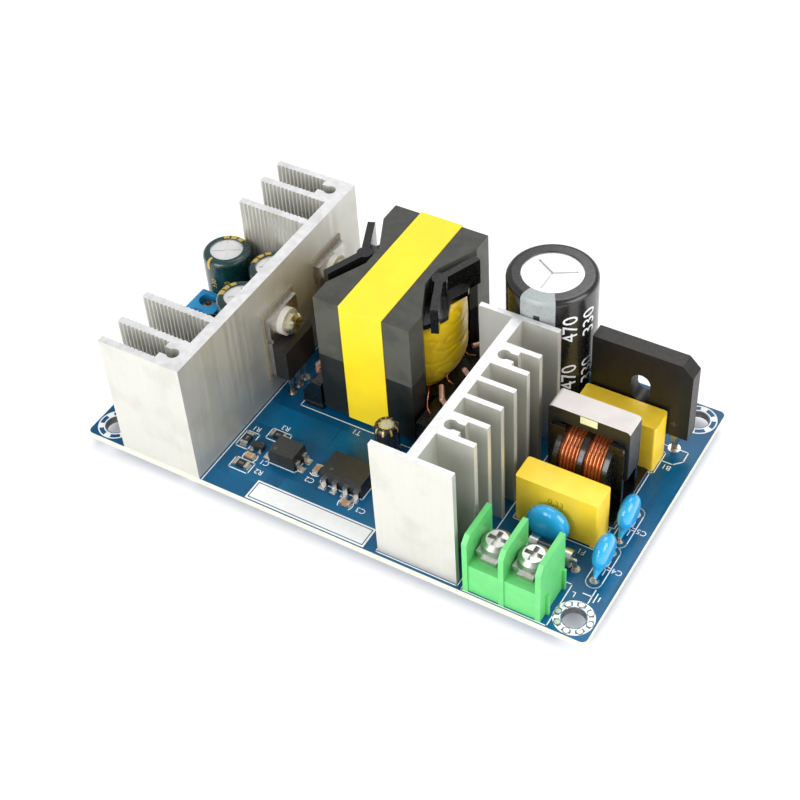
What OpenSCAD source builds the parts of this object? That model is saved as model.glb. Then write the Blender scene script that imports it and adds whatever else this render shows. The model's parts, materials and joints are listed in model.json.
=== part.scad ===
// Open-frame power supply module: a circuit board with two heatsinks, a transformer,
// a mains input stage on the right and a low-voltage output stage on the left.
// Millimetres, +Z up. The origin is under the middle of the board, on the ground plane.

/* [Board] */
// Length of the circuit board along X
board_l = 116; // [114:0.5:140]
// Width of the circuit board along Y
board_w = 66.6; // [66:0.2:80]
// Thickness of the circuit board
board_t = 1.6; // [1:0.1:2.4]
// Radius of the board's corners
board_r = 1.2; // [0.4:0.1:3]
// Diameter of the four mounting holes
mount_hole_d = 4.8; // [3:0.1:5.6]
// Distance of a mounting hole's centre from the two edges beside it
mount_inset = 4.4; // [4:0.1:5]

/* [Leads and solder] */
// Diameter of the tinned lead wires
wire_d = 0.7; // [0.5:0.05:0.8]
// Length of a trimmed lead below the board
tail = 1.6; // [1:0.1:2]
// Clearance round a lead in its board hole
hole_gap = 0.15; // [0.05:0.05:0.3]
// Width of the solder ring round a lead
solder_ring = 0.5; // [0.3:0.05:0.6]
// Height of a solder cone below the board
solder_h = 1; // [0.6:0.1:1.2]
// Depth of a lead inside the part it belongs to
lead_seat = 1; // [0.6:0.1:1.4]
// Clearance between close-fitting pieces
fit = 0.05; // [0.02:0.01:0.1]

/* [Heatsinks] */
// Height of both heatsinks
sink_h = 30.4; // [24:0.2:40]
// Length of the output heatsink along Y
out_sink_l = 64.8; // [63.8:0.2:66]
// Depth of the output heatsink, from fin tips to device face
out_sink_depth = 19.3; // [14:0.1:20.4]
// Distance of the output heatsink's device face from the board's left edge
out_sink_x = 29; // [28:0.1:30]
// Thickness of the output heatsink's plate
out_plate_t = 2.6; // [2:0.1:3.2]
// Thickness of the output heatsink's fins
out_fin_t = 1.4; // [1:0.1:1.8]
// Step from the end fin to the second fin
out_fin_step = 6.4; // [5.6:0.1:6.8]
// Step from the second fin to the third fin
out_bay_step = 8.2; // [6.8:0.1:8.6]
// Pitch of the ribs on the output heatsink's fins
rib_pitch = 1; // [0.8:0.1:1.6]
// Height of the ribs on the output heatsink's fins
rib_h = 0.25; // [0.1:0.05:0.4]
// Length of the primary heatsink along Y
pri_sink_l = 43.3; // [38:0.1:45]
// Depth of the primary heatsink along X
pri_sink_depth = 17.5; // [16.5:0.1:18.5]
// Distance of the primary heatsink's fin tips from the board's right edge
pri_sink_x = 27.5; // [27:0.1:28]
// Distance of the primary heatsink from the board's front edge
pri_sink_y = 1; // [0.2:0.1:2]
// Depth of the primary heatsink's device channel
pri_channel = 7.5; // [7:0.1:8]
// Thickness of the primary heatsink's plate
pri_plate_t = 2.2; // [1.6:0.1:2.6]
// Thickness of the primary heatsink's fins and end walls
pri_fin_t = 1.2; // [0.8:0.1:1.4]
// Number of fins between the primary heatsink's end walls
pri_fins = 6; // [4:2:6]
// Pitch of the primary heatsink's fins
pri_fin_pitch = 5.2; // [4.9:0.1:5.6]
// Diameter of the screw channels in both heatsinks
channel_d = 2.6; // [2.2:0.1:2.8]
// Width of the slot that opens a screw channel
channel_slot = 1.8; // [1.2:0.1:2]
// Depth of the boss round a screw channel
boss_depth = 3.8; // [3.3:0.1:5]
// Diameter of the heatsink screws' heads
sink_head_d = 5.6; // [4.5:0.1:6]
// Height of the heatsink screws' heads
sink_head_h = 2.4; // [2.1:0.1:3]
// Length of a heatsink screw inside its channel
sink_screw_l = 8; // [5:0.5:14]

/* [Power devices] */
// Width of a tab package
dev_w = 10.1; // [9:0.1:10.6]
// Height of a tab package without its leads
dev_h = 15.4; // [15.2:0.1:16.4]
// Height of the moulded body
dev_body_h = 8.6; // [7:0.1:8.8]
// Thickness of a tab package
dev_t = 4.5; // [4:0.1:4.8]
// Thickness of the metal tab
tab_t = 1.3; // [1:0.1:1.6]
// Height of the package above the board
dev_lift = 6.2; // [3:0.1:7.5]
// Diameter of the hole in the tab
tab_hole_d = 3.8; // [3.6:0.1:4]
// Distance of the tab hole below the tab's top edge
tab_hole_drop = 3.4; // [3.2:0.1:3.5]
// Pitch of the three leads
dev_pitch = 2.54; // [2.3:0.01:2.7]
// Width of a flat lead
flat_lead_w = 0.8; // [0.6:0.05:0.9]
// Thickness of a flat lead
flat_lead_t = 0.5; // [0.4:0.05:0.6]
// Width of the insulating pad behind a package
pad_w = 11.4; // [11:0.1:14]
// Height of the insulating pad
pad_h = 17.6; // [16.6:0.1:18.4]
// Thickness of the insulating pad
pad_t = 0.3; // [0.2:0.05:0.5]
// Diameter of the insulating bush's flange
bush_d = 6; // [5.6:0.1:6.2]
// Thickness of the insulating bush's flange
bush_t = 1.4; // [0.6:0.1:1.6]
// Diameter of a device screw
dev_screw_d = 2.9; // [2.4:0.1:3]
// Diameter of a device screw's head
dev_head_d = 4.8; // [4.4:0.1:5.6]
// Height of a device screw's head
dev_head_h = 1.9; // [1.4:0.1:2]
// Distance of the front rectifier from the board's front edge
rectifier_1_y = 32.5; // [30:0.5:34]
// Distance between the two rectifiers
rectifier_step = 19; // [15:0.5:21]

/* [Transformer] */
// Width of the core along X
core_w = 22; // [20:0.1:23]
// Length of the core along Y
core_l = 32.4; // [31:0.1:33.4]
// Height of the two core halves together
core_h = 30.7; // [27:0.1:36]
// Thickness of the core's back plates
core_plate_t = 4.5; // [3.6:0.1:5.5]
// Diameter of the core's middle post
post_d = 13.4; // [11:0.1:14]
// Diameter of the winding window
window_d = 27.5; // [26:0.1:28]
// Width of the core plate at its waist
waist_w = 13.8; // [13.6:0.1:18]
// Length of the straight part of the waist
waist_l = 5.2; // [3:0.1:8]
// Length of the full-width part at each end of the core
core_end = 5; // [3:0.1:6]
// Height of the core above the board
core_lift = 1.3; // [0.8:0.1:2]
// Distance of the transformer's middle left of the board's middle
transformer_x = 5.5; // [4.5:0.1:6]
// Distance of the transformer's middle from the board's back edge
transformer_y = 21.7; // [19:0.1:22]
// Clearance between core and bobbin
bobbin_gap = 0.25; // [0.15:0.05:0.4]
// Wall of the bobbin's tube
bobbin_wall = 0.9; // [0.7:0.1:1.2]
// Thickness of the bobbin's flanges
flange_t = 1.2; // [0.8:0.1:1.6]
// Width of the bobbin's pin rails
rail_w = 4.6; // [4:0.1:4.8]
// Overhang of the bobbin's pin rails past each end of the core
rail_over = 0.3; // [0.1:0.1:1]
// Height of a pin rail at its outer edge
rail_edge_h = 4.2; // [3.4:0.1:5]
// Width of the claw arms on the top flange
arm_w = 1.6; // [1.2:0.1:2.2]
// Height of the claw arms above the top flange
arm_h = 5; // [2:0.1:5.4]
// Reach of the claw arms along X from the transformer's middle
arm_reach = 12.5; // [12:0.1:15]
// Spread of the claw arms along Y from the transformer's middle
arm_spread = 8.9; // [8:0.1:11]
// Outer diameter of the taped winding
winding_d = 26.4; // [22:0.1:26.6]
// Diameter of a sleeved lead wire of the transformer
lead_wire_d = 1.1; // [0.7:0.05:1.2]
// Width of the tape band round the core
tape_w = 9.8; // [6:0.1:12]
// Thickness of the tape band
tape_t = 0.2; // [0.1:0.05:0.4]
// Number of pins in each rail
pin_count = 7; // [5:1:8]
// Pitch of the pins
pin_pitch = 4.8; // [4:0.1:4.9]
// Diameter of the pins
pin_d = 0.9; // [0.7:0.1:1.1]

/* [Electrolytic capacitors] */
// Thickness of the plastic sleeves
sleeve_t = 0.3; // [0.2:0.05:0.5]
// Rounding of a can's top edge
can_edge_r = 0.9; // [0.5:0.1:1.1]
// Height of the capacitors above the board
can_lift = 0.4; // [0.2:0.1:0.8]
// Diameter of the bulk capacitor
bulk_d = 18.5; // [14:0.1:18.8]
// Height of the bulk capacitor
bulk_h = 35; // [24:0.5:42]
// Diameter of the bare disc on the bulk capacitor's top
bulk_top_d = 12.6; // [9:0.1:13]
// Lead pitch of the bulk capacitor
bulk_pitch = 7.5; // [6:0.1:8]
// Diameter of an output capacitor
out_cap_d = 10.5; // [9:0.1:10.7]
// Height of an output capacitor
out_cap_h = 21.2; // [16:0.1:24]
// Diameter of the bare disc on an output capacitor's top
out_cap_top_d = 7.2; // [5:0.1:7.6]
// Lead pitch of an output capacitor
out_cap_pitch = 5; // [4:0.1:5.4]
// Diameter of the small supply capacitor
supply_cap_d = 5.2; // [4.6:0.1:6.4]
// Height of the small supply capacitor
supply_cap_h = 11; // [8:0.5:14]
// Diameter of the bare disc on the supply capacitor's top
supply_cap_top_d = 3.4; // [2.4:0.1:3.6]
// Lead pitch of the supply capacitor
supply_cap_pitch = 2.2; // [2.1:0.05:2.6]

/* [Film capacitors] */
// Length of a film capacitor along X
film_l = 17.6; // [16.5:0.1:18.4]
// Thickness of a film capacitor along Y
film_t = 5.8; // [5:0.1:7]
// Height of a film capacitor
film_h = 12.2; // [10:0.1:15]
// Lead pitch of a film capacitor
film_pitch = 15; // [13:0.1:15.4]
// Rounding of a film capacitor's upright edges
film_r = 0.5; // [0.2:0.1:1]

/* [Line choke] */
// Width of the choke's core along X
choke_w = 17.2; // [16.6:0.1:18]
// Height of the choke's top above the board
choke_h = 21.4; // [20:0.1:23]
// Depth of the choke's core along Y
choke_core_t = 5.2; // [4.6:0.1:5.8]
// Thickness of the core's slab and of the leg inside the coils
choke_slab = 3.4; // [2.8:0.1:3.6]
// Thickness of the core's upright legs
choke_leg = 2.6; // [2:0.1:2.8]
// Rounding of the core's top corners
choke_corner_r = 0.9; // [0.4:0.1:1.4]
// Height of the coil axis above the board
choke_axis_h = 9.5; // [8.2:0.1:9.8]
// Outer diameter of the choke's windings
choke_coil_d = 12.6; // [10:0.1:13]
// Depth of the choke's base along Y
choke_base_d = 16; // [15:0.1:17]
// Thickness of the choke's base
choke_base_t = 1.2; // [0.8:0.1:1.6]
// Thickness of the choke bobbin's flanges
choke_flange_t = 1; // [0.7:0.1:1.2]
// Diameter of the choke's copper wire
choke_wire_d = 0.75; // [0.4:0.05:0.9]

/* [Disc parts] */
// Diameter of the small disc capacitors
disc_d = 7; // [6.5:0.1:8.6]
// Thickness of the small disc capacitors
disc_t = 3.2; // [2.4:0.1:3.6]
// Lead pitch of the small disc capacitors
disc_pitch = 7.5; // [6.5:0.1:8]
// Diameter of the surge absorber
surge_d = 9; // [7.5:0.1:10]
// Thickness of the surge absorber
surge_t = 3.8; // [3:0.1:4.4]
// Lead pitch of the surge absorber
surge_pitch = 5; // [4:0.1:6]
// Height of the surge absorber's lowest point above the board
surge_lift = 0.4; // [0.2:0.1:2]
// Height of the small discs' lowest point above the board
disc_lift = 1.4; // [1.2:0.1:2.6]

/* [Fuse] */
// Length of the fuse over its end caps
fuse_l = 9; // [7.5:0.1:9.6]
// Diameter of the fuse's end caps
fuse_d = 3.6; // [3:0.1:4]
// Length of an end cap
fuse_cap_l = 1.8; // [1.2:0.1:2.4]
// Wall of the fuse's tube
fuse_wall = 0.5; // [0.3:0.05:0.7]
// Height of the fuse's axis above the board
fuse_axis_h = 2.6; // [2.2:0.1:4]

/* [Bridge rectifier] */
// Width of the bridge rectifier along X
bridge_w = 21.5; // [18:0.1:22]
// Thickness of the bridge rectifier along Y
bridge_t = 3.6; // [3:0.1:4.2]
// Height of the bridge rectifier's body
bridge_h = 19.6; // [17:0.1:22]
// Height of the body above the board
bridge_lift = 5.3; // [4:0.1:7]
// Pitch of the bridge rectifier's leads
bridge_pitch = 5.08; // [4.4:0.01:5.2]
// Width of the bridge rectifier's flat leads
bridge_lead_w = 1.2; // [0.8:0.1:1.4]
// Width of the oblong hole
bridge_hole_w = 4.1; // [3:0.1:4.6]
// Height of the oblong hole
bridge_hole_h = 6.9; // [5.4:0.1:8]
// Width of the cut corner
bridge_cut = 2.4; // [1.4:0.1:3]

/* [Input terminal] */
// Wire pitch of the input terminal
term_pitch = 7.62; // [7.4:0.01:7.8]
// Depth of the input terminal along Y
term_d = 10.05; // [9.6:0.05:10.8]
// Height of the input terminal's walls
term_h = 15; // [12.4:0.1:17]
// Thickness of the input terminal's walls
term_wall = 1.1; // [0.8:0.1:1.3]
// Height of the ledge that carries the contacts
term_ledge_h = 7.5; // [6:0.1:8]
// Size of a square clamp plate
clamp_w = 6; // [5:0.1:6.2]
// Thickness of a clamp plate
clamp_t = 0.8; // [0.6:0.1:1]
// Thickness of a contact plate
contact_t = 1; // [0.8:0.1:1.2]
// Diameter of a terminal screw
term_screw_d = 2.9; // [2.4:0.1:3.2]
// Diameter of a terminal screw's head
term_head_d = 6; // [4.4:0.1:6.2]
// Height of a terminal screw's head
term_head_h = 2; // [1.4:0.1:2.4]
// Depth of the screw bores below the ledge
term_bore = 4; // [2.5:0.1:5]
// Width of the terminals' pins
blade_w = 1.2; // [0.8:0.1:1.4]
// Thickness of the terminals' pins
blade_t = 0.8; // [0.6:0.1:0.9]

/* [Output terminal] */
// Wire pitch of the output terminal
out_term_pitch = 5.08; // [4.9:0.01:5.1]
// Depth of the output terminal along X
out_term_d = 7.3; // [7:0.1:8]
// Height of the output terminal
out_term_h = 12.6; // [10:0.1:13.6]
// Diameter of its screw holes
out_term_hole_d = 3.9; // [3.4:0.1:4]
// Distance of the output terminal from the board's left edge
out_term_x = 4.7; // [3:0.1:5]
// Height of the cages' tops above the board
cage_h = 6.6; // [5.8:0.1:7.2]
// Wall of the cages
cage_wall = 0.7; // [0.5:0.05:0.9]
// Clearance round a cage in its housing
cage_room = 0.15; // [0.05:0.05:0.25]
// Diameter of the output terminal's screws
out_screw_d = 2.4; // [2:0.1:2.5]
// Depth of an output screw's head below the housing's top
out_screw_drop = 1.4; // [0.8:0.1:2]

/* [Output choke] */
// Diameter of the output choke
out_choke_d = 9.2; // [8:0.1:9.6]
// Height of the output choke
out_choke_h = 20; // [14:0.5:24]

/* [Small parts] */
// Length of the controller along X
ic_l = 9.6; // [9:0.1:10.4]
// Width of the controller along Y
ic_w = 6.4; // [6:0.1:7]
// Length of the optocoupler along X
opto_l = 6.2; // [5.6:0.1:6.8]
// Width of the optocoupler along Y
opto_w = 4.7; // [4.2:0.1:5]
// Height of the controller and optocoupler
ic_h = 3.5; // [3:0.1:4]
// Lead pitch of the controller and optocoupler
ic_pitch = 2.54; // [2.3:0.01:2.6]
// Length of the three-lead reference along X
ref_l = 2.9; // [2.6:0.1:3.2]
// Width of the three-lead reference along Y
ref_w = 1.4; // [1.2:0.1:1.6]
// Height of the three-lead reference
ref_h = 1.1; // [0.9:0.1:1.3]
// Length of a chip resistor
chip_r_l = 3.2; // [2.4:0.1:3.6]
// Width of a chip resistor
chip_r_w = 1.6; // [1.2:0.1:1.8]
// Length of a chip capacitor
chip_c_l = 2; // [1.6:0.1:2.4]
// Width of a chip capacitor
chip_c_w = 1.25; // [0.8:0.05:1.4]
// Thickness of a chip part
chip_t = 0.7; // [0.4:0.1:1]

/* [Places] */
// Distance of the input terminal from the board's front edge
term_margin = 0.45; // [0.2:0.05:1]
// Room between the input terminal and the fuse
fuse_room = 2.6; // [1.6:0.1:3]
// Gap between neighbouring parts of the input stage
part_gap = 0.3; // [0.2:0.05:0.5]
// Room in front of and behind the line choke
choke_room = 0.8; // [0.4:0.1:1.2]
// Room in front of the bridge rectifier
bridge_room = 0.5; // [0.3:0.1:1]
// Room between the bulk capacitor and the bridge rectifier
bulk_room = 1.2; // [0.6:0.1:1.6]
// Distance of the input terminal's middle from the board's right edge
term_inset = 17.65; // [17.3:0.05:18]
// Distance of the fuse's middle from the board's right edge
fuse_inset = 14.5; // [13:0.1:17]
// Distance of the surge absorber's middle from the board's right edge
surge_inset = 17.2; // [15:0.1:19]
// Distance of the front film capacitor's middle from the board's right edge
film_1_inset = 16.7; // [16.4:0.1:17.2]
// Distance of the back film capacitor's middle from the board's right edge
film_2_inset = 15.45; // [14:0.05:17]
// Distance of the line choke's middle from the board's right edge
choke_inset = 15.9; // [15.6:0.1:17]
// Distance of the bridge rectifier's middle from the board's right edge
bridge_inset = 13.05; // [12:0.05:13.4]
// Distance of the disc capacitors from the board's right edge
disc_inset = 4.85; // [4:0.05:5.2]
// Distance of the front disc capacitor's middle from the board's front edge
disc_front = 17.9; // [16:0.1:19]
// Distance between the two disc capacitors
disc_step = 11.1; // [10.5:0.1:12]
// Gap between the output capacitors and what stands beside them
cap_room = 0.2; // [0.1:0.05:0.4]
// Step between neighbours in the output group
cap_step = 0.6; // [0.4:0.1:0.8]
// Gap between the two capacitors of the back row
cap_row_gap = 1.4; // [0.4:0.1:1.8]

/* [Hidden] */
$fn = 48;
eps = 0.01;

// Board edges and faces
left = -board_l / 2;
right = board_l / 2;
front = -board_w / 2;
back = board_w / 2;
under = sink_head_h;
top = under + board_t;
lead_end = under - tail;

// Output heatsink
os_face = left + out_sink_x;
os_inner = os_face - out_plate_t;
os_tip = os_face - out_sink_depth;
os_y0 = front;
os_y1 = os_y0 + out_sink_l;
os_fins = [0, out_fin_step, out_fin_step + out_bay_step];
os_bay0 = os_y0 + os_fins[2] + out_fin_t;
os_bay1 = os_y1 - os_fins[2] - out_fin_t;

// Primary heatsink
ps_x1 = right - pri_sink_x;
ps_x0 = ps_x1 - pri_sink_depth;
ps_face = ps_x0 + pri_channel;
ps_fin = ps_face + pri_plate_t;
ps_y0 = front + pri_sink_y;
ps_y1 = ps_y0 + pri_sink_l;
ps_mid = (ps_y0 + ps_y1) / 2;
ps_first = ps_mid - ((pri_fins - 1) * pri_fin_pitch + pri_fin_t) / 2;
ps_last = ps_first + (pri_fins - 2) * pri_fin_pitch;

// Heatsink screws: one in each channel, centred between its two fins
os_channel_mid = (out_fin_step + out_fin_t) / 2;
ps_channel_mid = (pri_fin_pitch + pri_fin_t) / 2;
sink_screws = [
    [os_inner - channel_d / 2, os_y0 + os_channel_mid],
    [os_inner - channel_d / 2, os_y1 - os_channel_mid],
    [ps_fin + channel_d / 2, ps_first + ps_channel_mid],
    [ps_fin + channel_d / 2, ps_last + ps_channel_mid]
];
sink_hole_d = channel_d + 4 * hole_gap;

// Power devices: place of the mounting face, facing direction and plate behind it
rectifier_1 = [os_face, front + rectifier_1_y, 1, out_plate_t];
rectifier_2 = [os_face, front + rectifier_1_y + rectifier_step, 1, out_plate_t];
switch = [ps_face, ps_mid, -1, pri_plate_t];
devices = [rectifier_1, rectifier_2, switch];
tab_x = pad_t + tab_t;
dev_lead_x = pad_t + tab_t + (dev_t - tab_t) / 2;
dev_hole_z = top + dev_lift + dev_h - tab_hole_drop;
dev_front = pad_t + dev_t;

// Transformer
tx = -transformer_x;
ty = back - transformer_y;
core_z0 = top + core_lift;
core_z1 = core_z0 + core_h;
flange_z0 = core_z0 + core_plate_t + bobbin_gap;
flange_z1 = core_z1 - core_plate_t - bobbin_gap;
tube_r = post_d / 2 + bobbin_gap + bobbin_wall;
flange_r = window_d / 2 - bobbin_gap;
arm_root = waist_w / 2 + bobbin_gap + arm_w;
rail_x0 = core_w / 2 + 2 * bobbin_gap;
rail_x1 = rail_x0 + rail_w;
rail_l = core_l + 2 * rail_over;
pin_x = (rail_x0 + rail_x1) / 2;
pin_ys = [for (i = [0 : pin_count - 1]) (i - (pin_count - 1) / 2) * pin_pitch];
pin_seat = rail_edge_h * 0.6;

// Mains input column, from the front edge to the back
term_y0 = front + term_margin;
term_y1 = term_y0 + term_d;
fuse_y = term_y1 + fuse_room + fuse_d / 2;
surge_y = fuse_y + fuse_d / 2 + part_gap + surge_t / 2;
film_1_y = surge_y + surge_t / 2 + part_gap + film_t / 2;
choke_y = film_1_y + film_t / 2 + choke_room + choke_base_d / 2;
film_2_y = choke_y + choke_base_d / 2 + choke_room + film_t / 2;
bridge_y = film_2_y + film_t / 2 + bridge_room + bridge_t / 2;
term_x = right - term_inset;
fuse_x = right - fuse_inset;
surge_x = right - surge_inset;
film_1_x = right - film_1_inset;
film_2_x = right - film_2_inset;
choke_x = right - choke_inset;
bridge_x = right - bridge_inset;
disc_x = right - disc_inset;
disc_1_y = front + disc_front;
disc_2_y = disc_1_y + disc_step;

// Small parts: places as shares of the free field, from the output heatsink across to the primary
// heatsink and from the front edge in to the transformer, and turn
core_front = ty - core_l / 2;
function spot(across, inward, turn) = [
    os_face + across * (ps_x0 - os_face), front + inward * (core_front - front), turn
];
ic_place = spot(0.652, 0.495, 0);
opto_place = spot(0.312, 0.458, 0);
reference_place = spot(0.1405, 0.4495, 0);
resistors = [spot(0.132, 0.254, 0), spot(0.062, 0.479, 90), spot(0.188, 0.61, 0), spot(0.895, 0.753, 90)];
capacitors = [spot(0.138, 0.347, 0), spot(0.481, 0.4635, 90), spot(0.7165, 0.2857, 0)];
supply_place = spot(0.757, 0.784, 0);

// Electrolytic capacitors: [x, y, diameter, height, bare top, lead pitch, lead angle]
bulk_cap = [
    bridge_x - bridge_w / 2 - bulk_room - bulk_d / 2, ps_y1 + part_gap + bulk_d / 2,
    bulk_d, bulk_h, bulk_top_d, bulk_pitch, 90
];
cap_row_y = os_bay1 - rib_h - cap_room - out_cap_d / 2;
cap_row_x = os_inner - cap_room - out_cap_d / 2;
out_cap_1 = [
    cap_row_x - out_cap_d - cap_row_gap, cap_row_y,
    out_cap_d, out_cap_h, out_cap_top_d, out_cap_pitch, 90
];
out_cap_2 = [
    cap_row_x - cap_step, cap_row_y - out_cap_d - cap_step,
    out_cap_d, out_cap_h, out_cap_top_d, out_cap_pitch, 0
];
out_cap_3 = [cap_row_x, cap_row_y, out_cap_d, out_cap_h, out_cap_top_d, out_cap_pitch, 90];
supply_cap = [
    supply_place[0], supply_place[1],
    supply_cap_d, supply_cap_h, supply_cap_top_d, supply_cap_pitch, 0
];
all_caps = [bulk_cap, out_cap_1, out_cap_2, out_cap_3, supply_cap];
out_choke_x = out_cap_2[0] - cap_step;
out_choke_y = out_cap_2[1] - out_cap_d / 2 - cap_step - out_choke_d / 2;

// Line choke
choke_z1 = top + choke_h;
choke_axis = top + choke_axis_h;
choke_leg_z0 = choke_axis - choke_slab / 2;
choke_tube_r = norm([choke_core_t, choke_slab]) / 2 + bobbin_gap + bobbin_wall;
choke_win_x0 = choke_w / 2 - choke_leg - bobbin_gap;
choke_coil_x = [choke_flange_t / 2 + fit, choke_win_x0 - choke_flange_t - fit];
choke_pin_x = choke_w / 2 - choke_leg;
choke_pin_y = choke_base_d / 2 - 2 * choke_base_t;

// Output terminal
out_term_x0 = left + out_term_x;
out_term_l = 2 * out_term_pitch;
out_term_y1 = out_cap_1[1] - out_cap_d / 2 - cap_room;
out_term_ys = [for (i = [0.5, 1.5]) out_term_y1 - i * out_term_pitch];
cage_y = out_term_pitch / 2 - cage_wall;
cage_x0 = cage_wall * 1.7;
cage_x1 = out_term_d - cage_x0;

// Lead places: [x, y, size of the lead across its corners]
function pair(x, y, pitch, angle) =
    [for (s = [-0.5, 0.5]) [x + s * pitch * cos(angle), y + s * pitch * sin(angle), wire_d]];
flat_lead_size = norm([flat_lead_w, flat_lead_t]);
bridge_lead_size = norm([bridge_lead_w, flat_lead_t]);
blade_size = norm([blade_w, blade_t]);
dev_pads = [
    for (d = devices, i = [-1 : 1])
    [d[0] + d[2] * dev_lead_x, d[1] + i * dev_pitch, flat_lead_size]
];
pin_pads = [for (s = [-1, 1], y = pin_ys) [tx + s * pin_x, ty + y, pin_d]];
cap_pads = [for (c = all_caps) each pair(c[0], c[1], c[5], c[6])];
film_pads = concat(pair(film_1_x, film_1_y, film_pitch, 0), pair(film_2_x, film_2_y, film_pitch, 0));
choke_pads = [
    for (sx = [-1, 1], sy = [-1, 1]) [choke_x + sx * choke_pin_x, choke_y + sy * choke_pin_y, wire_d]
];
disc_pads = concat(
    pair(disc_x, disc_1_y, disc_pitch, 90), pair(disc_x, disc_2_y, disc_pitch, 90),
    pair(surge_x, surge_y, surge_pitch, 0)
);
fuse_pitch = fuse_l + 2 * wire_d;
fuse_pads = pair(fuse_x, fuse_y, fuse_pitch, 0);
bridge_pads = [
    for (i = [-1.5 : 1.5]) [bridge_x + i * bridge_pitch, bridge_y, bridge_lead_size]
];
term_screw_y = term_y0 + term_d * 0.585;
term_pin_y = term_y1 - term_wall - fit - blade_t / 2;
term_xs = [for (s = [-0.5, 0.5]) term_x + s * term_pitch];
term_pads = [for (x = term_xs) [x, term_pin_y, blade_size]];
out_term_pads = [for (y = out_term_ys) [out_term_x0 + out_term_d / 2, y, blade_size]];
out_choke_pads = pair(out_choke_x, out_choke_y, out_cap_pitch, 0);
wire_pads = concat(cap_pads, film_pads, choke_pads, out_choke_pads);
all_pads = concat(
    dev_pads, pin_pads, wire_pads, disc_pads, fuse_pads, bridge_pads, term_pads, out_term_pads
);
mount_holes = [
    for (sx = [-1, 1], sy = [-1, 1]) [sx * (right - mount_inset), sy * (back - mount_inset)]
];

// A box between two corners
module block(lo, hi) {
    translate(lo) cube(hi - lo);
}

// A profile drawn in X and Z, extruded along +Y from y
module along_y(y, length) {
    translate([0, y + length, 0]) rotate([90, 0, 0]) linear_extrude(length) children();
}

// A profile drawn in Y and Z, extruded along +X from x
module along_x(x, length) {
    translate([x, 0, 0]) rotate([90, 0, 90]) linear_extrude(length) children();
}

// A flat rectangle between two corners
module rect(lo, hi) {
    translate(lo) square(hi - lo);
}

// A flat rectangle with round corners
module round_rect(lo, hi, r) {
    rect([lo[0] + r, lo[1]], [hi[0] - r, hi[1]]);
    rect([lo[0], lo[1] + r], [hi[0], hi[1] - r]);
    for (x = [lo[0] + r, hi[0] - r], y = [lo[1] + r, hi[1] - r])
        translate([x, y]) circle(r);
}

// A straight round rod from a to b, with its own diameter at each end
module taper_rod(a, b, d_a, d_b) {
    v = b - a;
    translate(a) rotate([0, acos(v[2] / norm(v)), atan2(v[1], v[0])])
        cylinder(d1 = d_a, d2 = d_b, h = norm(v));
}

// A straight round rod from a to b
module rod(a, b, d) {
    taper_rod(a, b, d, d);
}

// A bent wire through the given points
module bent_wire(path, d) {
    elbow_d = d * 1.06;
    for (i = [1 : len(path) - 1]) rod(path[i - 1], path[i], d);
    for (i = [1 : 1 : len(path) - 2]) translate(path[i]) sphere(d = elbow_d);
}

// A round pan head that faces +Z, with a cross recess
module pan_head(d, h) {
    recess_w = d * 0.16;
    recess_l = d * 0.6;
    recess_h = h * 0.5;
    crown = h * 0.35;
    difference() {
        union() {
            cylinder(d = d, h = h - crown);
            translate([0, 0, h - crown]) cylinder(d1 = d, d2 = d * 0.72, h = crown);
        }
        for (a = [0, 90]) rotate(a) translate([-recess_l / 2, -recess_w / 2, h - recess_h])
            cube([recess_l, recess_w, h]);
    }
}

module circuit_board() {
    color([0.05, 0.22, 0.42])
    difference() {
        translate([0, 0, under]) linear_extrude(board_t)
            round_rect([left, front], [right, back], board_r);
        for (p = mount_holes) translate([p[0], p[1], 0]) cylinder(d = mount_hole_d, h = 2 * top);
        for (p = sink_screws) translate([p[0], p[1], 0]) cylinder(d = sink_hole_d, h = 2 * top);
        for (p = all_pads) translate([p[0], p[1], 0]) cylinder(d = p[2] + 2 * hole_gap, h = 2 * top);
    }
}

// A cone of solder under each lead
module solder_joints() {
    color([0.75, 0.76, 0.78])
    for (p = all_pads) translate([p[0], p[1], under - solder_h]) difference() {
        cylinder(d1 = p[2] + solder_ring / 2, d2 = p[2] + 2 * solder_ring, h = solder_h);
        translate([0, 0, -eps]) cylinder(d = p[2] + 2 * fit, h = solder_h + 2 * eps);
    }
}

// One fin along -X with ribs on the faces that are asked for
module ribbed_fin(y, ribs_front, ribs_back) {
    n = floor((os_inner - os_tip) / rib_pitch);
    y1 = y + out_fin_t;
    front_face = [
        for (i = [0 : n - 1], s = [0, 0.5])
        [os_tip + (i + s) * rib_pitch, y - (s > 0 ? ribs_front : 0)]
    ];
    back_face = [
        for (i = [n - 1 : -1 : 0], s = [0.5, 0])
        [os_tip + (i + s) * rib_pitch, y1 + (s > 0 ? ribs_back : 0)]
    ];
    polygon(concat(front_face, [[os_inner + eps, y], [os_inner + eps, y1]], back_face));
}

// A boss between two fins with a round screw channel that opens towards the fin tips
module channel_boss(x, y0, y1, side) {
    mid = (y0 + y1) / 2;
    cx = x + side * channel_d / 2;
    tip = x + side * boss_depth;
    difference() {
        rect([min(x, tip), y0], [max(x, tip), y1]);
        translate([cx, mid]) circle(d = channel_d);
        rect([min(cx, tip + side), mid - channel_slot / 2], [max(cx, tip + side), mid + channel_slot / 2]);
    }
}

// Tapped hole for a device screw through a heatsink plate
module device_hole(d) {
    translate([d[0] + d[2], d[1], dev_hole_z]) rotate([0, -90 * d[2], 0])
        cylinder(d = dev_screw_d + 2 * fit, h = d[3] + 2);
}

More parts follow.
